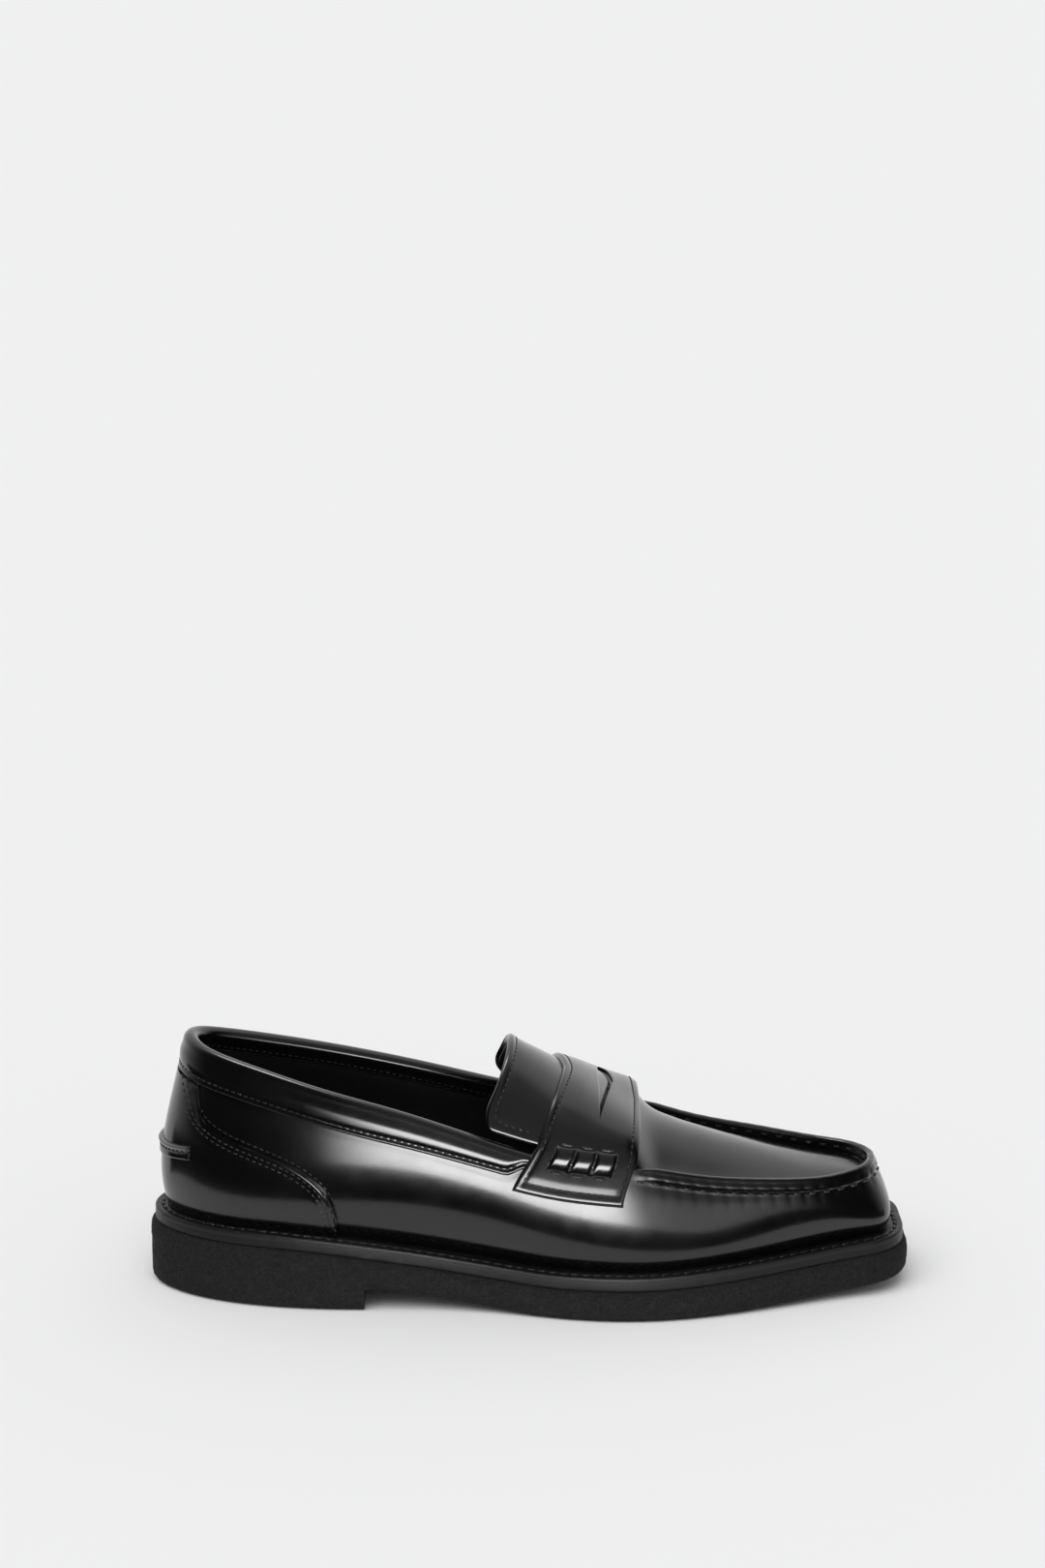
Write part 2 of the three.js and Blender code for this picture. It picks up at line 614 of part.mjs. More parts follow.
function makeSlotCutter() {
  const gs = along(12, -SLOT_REACH, SLOT_REACH);
  const span = STRAP_FRONT_CREST - STRAP_REAR_CREST;
  const half = (g) => (SLOT_HALF_WIDTH * Math.cos((g / SLOT_REACH) * Math.PI / 2) + 0.15) / span;
  return skin(gs, [-1, 1], (g, s, depth) => strapAt(g, 0.53 + s * half(g), depth), STRAP + 1.5, -1.5);
}

function makeStrap() {
  const gs = along(30, -STRAP_END, STRAP_END);
  const body = skin(gs, along(4), strapAt, STRAP, 0);
  return cut(body, makeSlotCutter());
}

// A stitched roll of leather over the strap: three lobes side by side.
function makeBeefRoll(sign) {
  const gs = along(4, 0.89, 1.08);
  const lobes = along(12, 0.2, 0.86);
  const lift = (i, j) => {
    const swell = Math.sin((Math.PI * j) / 4);
    const lobe = Math.abs(Math.sin((Math.PI * i) / 4));
    return 0.5 + swell * (1.4 + 1.2 * lobe);
  };
  const at = (depth) => (s, g, i, j) => strapAt(sign * g, s, STRAP + GAP + depth(i, j));
  return between(grid(lobes, gs, at(lift)), grid(lobes, gs, at(() => 0)));
}

add('saddle_strap', makeStrap(), shine(0x0d0d0f));
add('beef_roll_lateral', makeBeefRoll(-1), shine(0x0d0d0f));
add('beef_roll_medial', makeBeefRoll(1), shine(0x0d0d0f));

// ---------------------------------------------------------------- tongue, hinged under the strap
const tongueRear = (g) => TONGUE_REAR_CREST - 15.5 * Math.abs(g) ** 2;

function tongueAt(g, s, depth) {
  const x = mix(tongueRear(g), strapRear(g) - 0.5, s);
  const t = turnAt(x, Math.abs(g), g < 0 ? -1 : 1);
  return girthAt(t, Math.abs(g), depth);
}

function makeTonguePiece(top, bottom, margin) {
  const gs = along(16, -TONGUE_REACH + margin, TONGUE_REACH - margin);
  return skin(gs, along(3, margin, 1), tongueAt, top, bottom);
}

add('tongue', makeTonguePiece(0, -LEATHER, 0), shine(0x0d0d0f));
add('tongue_lining', makeTonguePiece(-LEATHER - GAP, -LEATHER - GAP - LINING, 0.02), matt(0x17171a, 0.5));

// ---------------------------------------------------------------- seams
function seam(points, size, round) {
  const places = points.map((f) => f(0));
  const normals = points.map((f) => f(1).sub(f(0)).normalize());
  return thread(places, normals, size, round);
}

const THREAD = 0.8;

const collarSeam = () => {
  const reach = turnAt(-8, 1);
  return turns(-reach, reach).map((t) => (depth) =>
    wallAt(t, below(t, collarHeight(rim(t).x) - 2.4), LIFT + OVERLAY + depth));
};

const counterSeam = () => {
  const reach = solve((t) => wall(t, 0.3).x, -78.5, 0.02, 0.25);
  const top = (t) => counterTop(t) - 0.05;
  return counterTurns(reach).map((t) => (depth) => wallAt(t, top(t), LIFT + OVERLAY + depth));
};

const strapSeam = () => {
  const inset = 0.11;
  const end = STRAP_END - 0.07;
  const run = (gs, s) => gs.map((g) => (depth) => strapAt(g, s, STRAP + depth));
  const across = (g, from) => along(2, from, 1 - from).map((s) => (depth) => strapAt(g, s, STRAP + depth));
  const rear = run(along(22, -end, end).slice(1, -1), inset);
  const front = run(along(22, end, -end).slice(1, -1), 1 - inset);
  return [...rear, ...across(end, inset), ...front, ...across(-end, 1 - inset)];
};

const tongueSeam = () => {
  const reach = TONGUE_REACH - 0.06;
  return along(16, -reach, reach).map((g) => (depth) => tongueAt(g, 0.12, depth));
};

const mocSeam = () => {
  const t = turnAt(56, 1);
  return turns(t, 1 - t).map((k) => (depth) => {
    const top = rim(k);
    const inward = crest(k).p.sub(top).setZ(0).normalize();
    return top.addScaledVector(inward, 1.4).addScaledVector(UP, depth);
  });
};

add('collar_stitching', seam(collarSeam(), THREAD), matt(0x0b0b0c, 0.6));
add('counter_stitching', seam(counterSeam(), THREAD), matt(0x0b0b0c, 0.6));
add('strap_stitching', seam(strapSeam(), THREAD, true), matt(0x0b0b0c, 0.6));
add('tongue_stitching', seam(tongueSeam(), THREAD), matt(0x0b0b0c, 0.6));
add('moc_seam_thread', seam(mocSeam(), 1.2), matt(0x0b0b0c, 0.6));

export default loafer;
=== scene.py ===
"""Penny loafer: the looks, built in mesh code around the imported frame.

Shapes are worked out in millimetres in the frame's own axes (+X toe, -Y lateral, +Z up) and become
metres when a piece is made. t runs round the shoe from the back of the heel by the lateral side (0.5 is
the toe), v climbs the wall from the welt to the rim, g is the girth from the crest (0) by the rim (1).
"""
import math

import bpy
import numpy as np
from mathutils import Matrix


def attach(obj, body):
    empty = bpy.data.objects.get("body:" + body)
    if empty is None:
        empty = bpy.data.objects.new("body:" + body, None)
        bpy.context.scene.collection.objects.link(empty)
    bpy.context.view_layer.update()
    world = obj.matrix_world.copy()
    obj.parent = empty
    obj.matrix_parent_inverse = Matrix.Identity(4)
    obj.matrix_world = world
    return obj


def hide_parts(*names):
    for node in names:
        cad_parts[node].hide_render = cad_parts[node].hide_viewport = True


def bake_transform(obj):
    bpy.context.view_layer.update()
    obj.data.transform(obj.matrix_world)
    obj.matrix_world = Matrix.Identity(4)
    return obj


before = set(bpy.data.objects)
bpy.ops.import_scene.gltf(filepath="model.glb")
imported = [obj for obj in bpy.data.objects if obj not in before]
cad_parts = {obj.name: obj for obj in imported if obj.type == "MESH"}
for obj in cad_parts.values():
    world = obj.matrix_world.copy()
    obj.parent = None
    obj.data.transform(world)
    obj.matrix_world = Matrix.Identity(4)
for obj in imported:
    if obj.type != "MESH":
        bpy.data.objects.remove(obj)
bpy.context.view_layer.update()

MM = 0.001
SHOE = "shoe"

# ---------------- driving dimensions, as in the frame
GAP = 0.3                     # between leathers, and between the upper and the welt
LEATHER = 1.6
LINING_DEPTH = 3.4
LINING = 1.2
OVERLAY = 1.2
SKIN = GAP + OVERLAY          # how far an overlay's face stands off the upper
SHELF = 6.5
WELT = 2.1
BAND = 5.6
FLARE = 1.8
HEEL_BREAST = -64.0
SLOT_REACH = 0.57
RIDGE = 3.6
RIDGE_WIDTH = 3.2
STRAP = 1.8
STRAP_END = 1.29
STRAP_REAR_CREST = 13.2
STRAP_FRONT_CREST = 43.0
TONGUE_REAR_CREST = -8.0
TONGUE_REACH = 0.92
COLLAR_ROLL = 3.0
VAMP_REAR = 20.0

# Stations round the last: sole edge x, y, then the upper's rim x, y, z.
STATIONS = np.array([
    [-148.2, 0.0, -133.5, 0.0, 102.0], [-143.5, -13.0, -131.0, -9.0, 101.2],
    [-128.0, -25.5, -122.0, -16.8, 98.6], [-104.0, -34.0, -103.0, -24.0, 94.0],
    [-75.0, -37.6, -77.0, -30.0, 87.3], [-45.0, -37.8, -47.0, -33.5, 79.7],
    [-15.0, -40.5, -17.0, -36.3, 70.3], [14.0, -47.0, 12.0, -39.5, 62.8],
    [42.0, -49.4, 40.0, -39.5, 58.8], [70.0, -44.8, 66.0, -35.0, 53.0],
    [97.0, -35.8, 91.0, -30.2, 49.8], [122.0, -26.8, 114.0, -23.5, 48.0],
    [140.0, -20.2, 129.0, -14.5, 48.3], [147.6, -9.0, 135.0, -6.5, 48.7],
    [147.9, 4.0, 136.5, 2.0, 48.8], [146.8, 17.0, 134.5, 9.5, 48.8],
    [139.0, 26.0, 127.0, 17.5, 48.6], [121.0, 34.5, 112.0, 25.0, 48.4],
    [96.0, 42.3, 90.0, 31.5, 50.2], [68.0, 48.2, 65.0, 36.0, 53.5],
    [41.0, 49.4, 39.0, 40.0, 59.3], [13.0, 45.5, 12.0, 39.5, 63.4],
    [-16.0, 38.0, -17.0, 35.6, 70.9], [-46.0, 34.8, -47.0, 31.0, 79.7],
    [-76.0, 36.5, -77.0, 27.0, 87.3], [-104.5, 33.8, -103.0, 21.5, 93.6],
    [-128.0, 25.5, -122.0, 15.6, 98.2], [-143.5, 13.0, -131.0, 8.6, 101.0],
])
CREST = np.array([[-34, 110.5], [-20, 104.5], [-6, 97.5], [13, 86.2], [28, 77], [43, 69], [62, 61.6],
                  [80, 56], [100, 50.4], [122, 46.4]], float)
COUNTER_EDGE = np.array([[-131, 91], [-130, 80], [-128.5, 71.5], [-117, 65.8], [-102, 61.8], [-88, 56.6],
                         [-78.5, 48.5], [-76, 40], [-75, 32]], float)
WALL_X = [-148, -80, -20, 45, 100, 148]
LOW_OUT = [6.5, 9, 11, 5, 4.5, 4]
LOW_UP = [22, 20, 16, 8, 7, 7]
TOP_OUT = [5, 7, 7, 6, 5, 5]
TOP_UP = [30, 26, 20, 17, 14, 12]

UP = np.array([0.0, 0.0, 1.0])


# ---------------- curves
def spline_point(a, b, c, d, f):
    """Uniform cubic spline between b and c, at the share f."""
    return ((1 - f) ** 3 * a + (3 * f ** 3 - 6 * f ** 2 + 4) * b
            + (3 * f + 3 * f ** 2 - 3 * f ** 3 + 1) * c + f ** 3 * d) / 6


def ring_spline(points):
    """Closed curve through the points, smooth to its second derivative."""
    n = len(points)
    one = np.eye(n)
    band = (4 * one + np.roll(one, 1, 0) + np.roll(one, -1, 0)) / 6
    control = np.linalg.solve(band, points)

    def at(t):
        s = (np.asarray(t, float) % 1.0) * n
        i = np.floor(s).astype(int)
        return spline_point(*(control[(i + k) % n] for k in (-1, 0, 1, 2)), (s - i)[..., None])
    return at


def natural_spline(xs, ys):
    """Natural cubic through the points: returns a function giving (value, slope)."""
    xs, ys = np.asarray(xs, float), np.asarray(ys, float)
    h = np.diff(xs)
    n = len(xs)
    system = np.eye(n)
    right = np.zeros(n)
    for i in range(1, n - 1):
        system[i, i - 1:i + 2] = [h[i - 1], 2 * (h[i - 1] + h[i]), h[i]]
        right[i] = 6 * ((ys[i + 1] - ys[i]) / h[i] - (ys[i] - ys[i - 1]) / h[i - 1])
    bend = np.linalg.solve(system, right)

    def at(x):
        x = np.clip(x, xs[0], xs[-1])
        i = np.clip(np.searchsorted(xs, x, side="right") - 1, 0, n - 2)
        a, b, w = xs[i + 1] - x, x - xs[i], h[i]
        value = (bend[i] * a ** 3 + bend[i + 1] * b ** 3) / (6 * w) \
            + (ys[i] / w - bend[i] * w / 6) * a + (ys[i + 1] / w - bend[i + 1] * w / 6) * b
        slope = (bend[i + 1] * b ** 2 - bend[i] * a ** 2) / (2 * w) \
            + (ys[i + 1] - ys[i]) / w - (bend[i + 1] - bend[i]) * w / 6
        return value, slope
    return at


def ramp(x, low, high):
    s = np.clip((np.asarray(x, float) - low) / (high - low), 0, 1)
    return s * s * (3 - 2 * s)


def mix(a, b, s):
    return a + (b - a) * s


def unit(v):
    return v / np.maximum(np.linalg.norm(v, axis=-1, keepdims=True), 1e-9)


def arrays(*values):
    """The values as float arrays of one shape."""
    return np.broadcast_arrays(*(np.asarray(value, float) for value in values))


def run_along(points, axis=0):
    """Distance travelled at each point of a line, or along each row of a grid with axis 1."""
    run = np.cumsum(np.linalg.norm(np.diff(points, axis=axis), axis=-1), axis)
    return np.insert(run, 0, 0, axis)


def bezier(p0, p1, p2, p3, s):
    s = np.asarray(s, float)[..., None]
    return (1 - s) ** 3 * p0 + 3 * s * (1 - s) ** 2 * p1 + 3 * s * s * (1 - s) * p2 + s ** 3 * p3


def solve(f, target, low, high, steps=34):
    """s with f(s) = target, by halving, for arrays of targets."""
    target, low, high = arrays(target, low, high)
    rising = f(high) > f(low)
    for _ in range(steps):
        middle = (low + high) / 2
        under = (f(middle) < target) == rising
        low = np.where(under, middle, low)
        high = np.where(under, high, middle)
    return (low + high) / 2


sole_curve = ring_spline(STATIONS[:, :2])
rim = ring_spline(STATIONS[:, 2:])
crest_line = natural_spline(*CREST.T)
low_out, low_up, top_out, top_up = (natural_spline(WALL_X, ys) for ys in (LOW_OUT, LOW_UP, TOP_OUT, TOP_UP))


def outward(t):
    d = sole_curve(np.asarray(t) + 1e-3) - sole_curve(np.asarray(t) - 1e-3)
    return unit(np.stack([d[..., 1], -d[..., 0], np.zeros(d.shape[:-1])], -1))


ARCH_RISE, TOE_SPRING = 8.6, 5.6                          # of the walking face
WELT_HEIGHT, HEEL_RISE, WELT_SPRING = 17.7, 12.3, 5.8     # of the welt's top


def tread_z(x):
    arch_rise = ARCH_RISE * (1 - ramp(x, -72, 14)) + np.maximum(0, -72 - x) * 0.022
    return arch_rise + TOE_SPRING * np.maximum(0, (x - 55) / 95) ** 1.7


def welt_z(x):
    heel = HEEL_RISE * (1 - ramp(x, -108, 16)) + np.maximum(0, -108 - x) * 0.01
    return WELT_HEIGHT + heel + WELT_SPRING * np.maximum(0, (x - 45) / 105) ** 1.35


# ---------------- the surface of the upper
def sole_point(t, inset, z=0.0):
    """A point inside the sole's edge; z is a height or a function of x."""
    t, inset = arrays(t, inset)
    xy = sole_curve(t)
    p = np.concatenate([xy, np.zeros(xy.shape[:-1] + (1,))], -1) - outward(t) * inset[..., None]
    p[..., 2] = z(p[..., 0]) if callable(z) else z
    return p


def wall(t, v):
    t, v = arrays(t, v)
    foot = sole_point(t, SHELF, lambda x: welt_z(x) + GAP)
    top = rim(t)
    out = outward(t)
    x = foot[..., 0]
    low = foot + out * low_out(x)[0][..., None] + UP * low_up(x)[0][..., None]
    high = top + out * top_out(x)[0][..., None] - UP * top_up(x)[0][..., None]
    return bezier(foot, low, high, top, v)


def crest(t):
    a, b = rim(t), rim(1 - np.asarray(t))
    middle = (a[..., 0] + b[..., 0]) / 2
    x = np.clip(middle - 14 * np.maximum(0, (middle - 60) / 76.5) ** 2, CREST[0, 0], CREST[-1, 0])
    z, slope = crest_line(x)
    return np.stack([x, (a[..., 1] + b[..., 1]) / 2, z], -1), slope


def pinch(x):
    return ramp(x, 38, 52)


def arch(t, g):
    t, g = arrays(t, g)
    p, slope = crest(t)
    top = rim(t)
    x = top[..., 0]
    inward = p - top
    inward[..., 2] = 0
    inward = unit(inward)
    ridge = pinch(x)[..., None]
    end = top + inward * RIDGE_WIDTH * ridge - UP * RIDGE * ridge
    reach = np.linalg.norm((p - end)[..., :2], axis=-1)[..., None]
    rise = unit(-outward(t) * top_out(x)[0][..., None] + UP * top_up(x)[0][..., None])
    flat = inward * 0.97 + UP * 0.24
    start = unit(mix(rise, flat, ridge))
    near_crest = p - inward * 0.5 * reach
    near_crest[..., 2] -= slope * inward[..., 0] * 0.5 * reach[..., 0]
    near_rim = end + start * mix(0.36, 0.3, ridge) * reach
    return bezier(p, near_crest, near_rim, end, g)


def girth(t, g):
    t, g = arrays(t, g)
    over = (g <= 1)[..., None]
    return np.where(over, arch(t, np.minimum(g, 1)), wall(t, np.clip(2 - g, 0, 1)))


def normal(surface, t, s):
    h = 1e-3
    s = np.where(np.asarray(s, float) > h, s - h, s)
    across = surface(t, s + h) - surface(t, s)
    around = surface(t + h, s) - surface(t - h, s)
    n = np.cross(around, across) if surface is wall else np.cross(across, around)
    return unit(n)


def wall_at(t, v, depth):
    t, v, depth = arrays(t, v, depth)
    return wall(t, v) + normal(wall, t, v) * depth[..., None]


def girth_at(t, g, depth):
    t, g, depth = arrays(t, g, depth)
    slope = crest(t)[1]
    top_normal = unit(np.stack([-slope, np.zeros_like(slope), np.ones_like(slope)], -1))
    n_arch = normal(arch, t, np.clip(g, 0.02, 1))
    ease = ramp(g, 0.0, 0.08)[..., None]
    n_arch = unit(mix(top_normal, n_arch, ease))
    n = np.where((g <= 1)[..., None], n_arch, normal(wall, t, np.clip(2 - g, 0, 1)))
    return girth(t, g) + n * depth[..., None]


def turn_at(x, g, medial=False):
    """t on one side where the girth line g reaches x."""
    x, g, medial = np.broadcast_arrays(np.asarray(x, float), np.asarray(g, float), np.asarray(medial))
    t = solve(lambda k: girth(np.where(medial, 1 - k, k), g)[..., 0], x, 0.12, 0.46)
    return np.where(medial, 1 - t, t)


def wall_run(t):
    """v down the wall from the rim, and the distance travelled to it for each t."""
    v = np.linspace(1, 0, 90)
    return v, run_along(wall(t[:, None], v), 1)


def below(t, distance):
    """v at distances below the rim, measured along the wall: one or several for each t."""
    v, run = wall_run(t)
    several = np.ndim(distance) == 2
    wanted = distance if several else np.broadcast_to(np.reshape(distance, (-1, 1)), (len(t), 1))
    found = np.array([np.interp(d, r, v) for d, r in zip(wanted, run)])
    return found if several else found[:, 0]


def below_distance(t, vs):
    """Distance below the rim for each v, measured along the wall."""
    v, run = wall_run(t)
    return np.array([np.interp(row, v[::-1], r[::-1]) for row, r in zip(vs, run)])


def height_v(t, z):
    return solve(lambda v: wall(t, v)[..., 2], z, 0.0, 1.0)


# ---------------- meshes
def make_object(name, points, faces, material, body=SHOE):
    """Welds equal corners, drops empty faces, turns them outward and rides the piece on its body."""
    points = np.asarray(points, float)
    first, index = np.unique(np.round(points * 2e3).astype(np.int64), axis=0,
                             return_index=True, return_inverse=True)[1:]
    index = index.reshape(-1).tolist()
    kept = []
    triangles = []
    for face in faces:
        corners = [index[i] for i in face]
        corners = [c for k, c in enumerate(corners) if c != corners[k - 1]]
        if len(corners) > 2 and len(set(corners)) == len(corners):
            kept.append(corners)
            triangles.extend((corners[0], corners[k], corners[k + 1]) for k in range(1, len(corners) - 1))
    a, b, c = points[first][np.array(triangles).T]
    if np.einsum("ij,ij->", a, np.cross(b, c)) < 0:
        kept = [corners[::-1] for corners in kept]
    mesh = bpy.data.meshes.new(name)
    mesh.from_pydata((points[first] * MM).tolist(), [], kept)
    return place(name, mesh, material, body)


def add(name, data):
    """A new object in the scene."""
    obj = bpy.data.objects.new(name, data)
    bpy.context.scene.collection.objects.link(obj)
    return obj


def place(name, mesh, material, body):
    mesh.polygons.foreach_set("use_smooth", [True] * len(mesh.polygons))
    mesh.set_sharp_from_angle(angle=math.radians(50))
    mesh.materials.append(material)
    obj = add(name, mesh)
    if body:
        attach(obj, body)
    return obj


def stand_in(node):
    """Hides the CAD node that the piece takes the place of."""
    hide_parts(node)


def grid_faces(rows, columns, start=0, round_u=False, round_v=False):
    """Faces of a grid of points that are stored row by row from an index."""
    corners = ((0, 0), (1, 0), (1, 1), (0, 1))
    return [tuple(start + (i + a) % rows * columns + (j + b) % columns for a, b in corners)
            for i in range(rows - (not round_u)) for j in range(columns - (not round_v))]


def turned(faces):
    """The faces seen from their other side."""
    return [face[:1] + face[:0:-1] for face in faces]


def shell_faces(rows, columns, round_u=False, slit=False):
    """Faces of a closed shell between two grids; a slit shell's far edge meets itself and stays open."""
    size = rows * columns
    last, end = columns - 1, (rows - 1) * columns
    faces = grid_faces(rows, columns, 0, round_u) + turned(grid_faces(rows, columns, size, round_u))
    for i in range(rows if round_u else rows - 1):
        a, b = i * columns, (i + 1) % rows * columns
        faces.append((a, a + size, b + size, b))
        if not slit:
            faces.append((a + last, b + last, b + last + size, a + last + size))
    if not round_u:
        for j in range(last):
            faces.append((j, j + 1, j + 1 + size, j + size))
            faces.append((end + j, end + j + size, end + j + 1 + size, end + j + 1))
    return faces


def shell(name, outer, inner, material, body=SHOE, round_u=False, slit=False):
    rows, columns = outer.shape[:2]
    points = np.concatenate([outer.reshape(-1, 3), inner.reshape(-1, 3)])
    return make_object(name, points, shell_faces(rows, columns, round_u, slit), material, body)


def stack(name, rings, material, body=SHOE):
    """A solid through rings of points, its two ends closed by ladders of faces."""
    n = rings.shape[1]
    faces = turned(grid_faces(len(rings), n, round_v=True))
    for base in (0, (len(rings) - 1) * n):
        for i in range(n // 2):
            far, far_next = base + (n - i) % n, base + (n - i - 1) % n
            rung = (base + i, base + i + 1, far_next, far)
            faces.append(rung[::-1] if base == 0 else rung)
    return make_object(name, rings.reshape(-1, 3), faces, material, body)


def rounded(distance, radius):
    """0 at an edge, 1 from radius inward, along a quarter circle."""
    s = np.clip(np.asarray(distance, float) / radius, 0, 1)
    return np.sqrt(np.maximum(0, 1 - (1 - s) ** 2))


def groove(distance, at, half_width=0.8):
    return np.exp(-((distance - at) / half_width) ** 2)


# ---------------- stitches
STITCH_SIDES = 7
STITCH_STEPS = 7


def stitch_points(middle, along, out, length, radius, sink):
    """A short thread that rises from the leather, lies on it and goes back in."""
    side = unit(np.cross(out, along))
    u = np.linspace(-1, 1, STITCH_STEPS)
    body = np.sqrt(np.maximum(0.03, 1 - u ** 6)) * radius
    rise = radius * 0.55 - sink * u ** 4
    angle = np.linspace(0, 2 * math.pi, STITCH_SIDES, endpoint=False)
    centre = middle + along * (u * length / 2)[:, None] + out * rise[:, None]
    ring = side * np.cos(angle)[:, None] + out * np.sin(angle)[:, None] * 0.8
    return (centre[:, None, :] + ring[None, :, :] * body[:, None, None]).reshape(-1, 3)


def stitch_faces():
    n = STITCH_SIDES
    far_end = (STITCH_STEPS - 1) * n
    caps = [tuple(range(n)), tuple(far_end + i for i in reversed(range(n)))]
    return grid_faces(STITCH_STEPS, n, round_v=True) + caps


def line_at(points, run, reach):
    return np.array([np.interp(reach, run, points[:, k]) for k in range(3)])


def stitch_row(points, normals, pitch, length, radius, sink=0.5, slant=0.0):
    """Stitches at an even pitch along a line on a surface, as a list of arrays of points."""
    run = run_along(points)
    count = max(1, int(round(run[-1] / pitch)))
    made = []
    for k in range(count):
        middle = (k + 0.5) * run[-1] / count
        out = unit(line_at(normals, run, middle))
        along = unit(line_at(points, run, middle + 0.4) - line_at(points, run, middle - 0.4))
        along = unit(along + np.cross(out, along) * slant)
        made.append(stitch_points(line_at(points, run, middle), along, out, length, radius, sink))
    return made


def stitched(name, stitches, node=None, body=SHOE):
    """One piece holding every stitch given."""
    template = stitch_faces()
    size = STITCH_SIDES * STITCH_STEPS
    faces = [tuple(k * size + i for i in face) for k in range(len(stitches)) for face in template]
    mesh = bpy.data.meshes.new(name)
    mesh.from_pydata((np.concatenate(stitches) * MM).tolist(), [], faces)
    obj = place(name, mesh, THREAD_MAT, body)
    if node:
        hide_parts(node)
    return obj


# ---------------- materials
class Look:
    """A Principled material whose patterns lie in the shoe's own space."""

    def __init__(self, name, color, roughness, **sockets):
        self.material = bpy.data.materials.new(name)
        self.material.use_nodes = True
        self.tree = self.material.node_tree
        self.shader = self.tree.nodes["Principled BSDF"]
        self.where = self.node("TexCoord").outputs["Object"]
        self.feed(self.shader, Base_Color=(*color, 1), Roughness=roughness, **sockets)

    def feed(self, node, **sockets):
        """Puts values into a node's inputs, or links other nodes' outputs to them."""
        for name, value in sockets.items():
            socket = node.inputs[name.replace("_", " ")]
            if isinstance(value, bpy.types.NodeSocket):
                self.tree.links.new(value, socket)
            else:
                socket.default_value = value

    def node(self, kind, modes=(), **sockets):
        made = self.tree.nodes.new("ShaderNode" + kind)
        for mode, value in modes:
            setattr(made, mode, value)
        self.feed(made, **sockets)
        return made

    def noise(self, size_mm, detail=3.0, roughness=0.55, distortion=0.0):
        return self.node("TexNoise", Scale=1000 / size_mm, Detail=detail, Roughness=roughness,
                         Distortion=distortion, Vector=self.where).outputs["Fac"]

    def cells(self, size_mm, feature="F1"):
        return self.node("TexVoronoi", [("feature", feature)], Scale=1000 / size_mm,
                         Vector=self.where).outputs["Distance"]

    def span(self, value, low, high, to_low, to_high):
        return self.node("MapRange", From_Min=low, From_Max=high, To_Min=to_low, To_Max=to_high,
                         Value=value).outputs["Result"]

    def mixed(self, factor, first, second):
        """A colour between two, each a colour or a socket."""
        first, second = (c if isinstance(c, bpy.types.NodeSocket) else (*c, 1) for c in (first, second))
        return self.node("Mix", [("data_type", "RGBA")], Factor=factor, A=first, B=second).outputs["Result"]

    def pointed(self, low, high):
        """1 on sharp outer edges, 0 elsewhere."""
        return self.span(self.node("NewGeometry").outputs["Pointiness"], low, high, 0, 1)

    def paint(self, color, size_mm, smoothest, roughest):
        """Colour from a socket, and a roughness that wanders between two values over some mm."""
        self.feed(self.shader, Base_Color=color,
                  Roughness=self.span(self.noise(size_mm), 0.3, 0.7, smoothest, roughest))

    def bump(self, *layers):
        """Stacks bumps given as (height socket, depth in mm, strength)."""
        finish = None
        for height, depth_mm, strength in layers:
            node = self.node("Bump", Distance=depth_mm * MM, Strength=strength, Height=height)
            if finish:
                self.feed(node, Normal=finish)
            finish = node.outputs["Normal"]
        self.feed(self.shader, Normal=finish)
        return finish


def polished_leather():
    look = Look("polished_leather", (0.003, 0.003, 0.0035), 0.2, Specular_IOR_Level=0.5, Coat_Weight=0.3,
                Coat_Roughness=0.1)
    wear = look.mixed(look.noise(22), (0.0022, 0.0022, 0.0027), (0.004, 0.0038, 0.0038))
    look.paint(look.mixed(look.pointed(0.54, 0.64), wear, (0.012, 0.0115, 0.0115)), 9, 0.17, 0.23)
    finish = look.bump((look.noise(30, 1), 0.5, 0.16), (look.cells(0.9, "SMOOTH_F1"), 0.02, 0.3),
                       (look.noise(0.35, 4), 0.02, 0.25))
    look.feed(look.shader, Coat_Normal=finish)
    return look.material


def lining_leather():
    look = Look("lining_leather", (0.008, 0.008, 0.009), 0.5)
    look.paint(look.mixed(look.noise(14), (0.005, 0.005, 0.006), (0.012, 0.011, 0.011)), 5, 0.42, 0.6)
    look.bump((look.noise(18, 2, distortion=1.2), 1.2, 0.35), (look.cells(1.1), 0.08, 0.4),
              (look.noise(0.5, 3), 0.03, 0.3))
    return look.material


def rough_rubber():
    """Sanded crepe-like rubber of the outsole and heel: dull, speckled, pitted."""
    look = Look("rough_rubber", (0.006, 0.006, 0.006), 0.85, Specular_IOR_Level=0.16)
    specks = look.span(look.noise(0.8, 5, 0.7), 0.42, 0.68, 0, 1)
    base = look.mixed(look.noise(7, 3), (0.0042, 0.0043, 0.0042), (0.0085, 0.0086, 0.0083))
    look.paint(look.mixed(specks, base, (0.019, 0.019, 0.0185)), 2, 0.7, 0.95)
    look.bump((look.noise(2.6, 4, 0.6), 0.5, 0.6), (look.noise(0.6, 4, 0.7), 0.25, 0.7))
    return look.material


def smooth_edge(name, color, roughness):
    """Trimmed and waxed edge of the welt and midsole."""
    look = Look(name, color, roughness, Specular_IOR_Level=0.3)
    dark, light, worn = (tuple(c * share for c in color) for share in (0.6, 1.5, 3))
    look.paint(look.mixed(look.pointed(0.52, 0.6), look.mixed(look.noise(6), dark, light), worn),
               3, roughness - 0.08, roughness + 0.08)
    look.bump((look.noise(5, 3), 0.15, 0.3), (look.noise(0.4, 4), 0.04, 0.4))
    return look.material


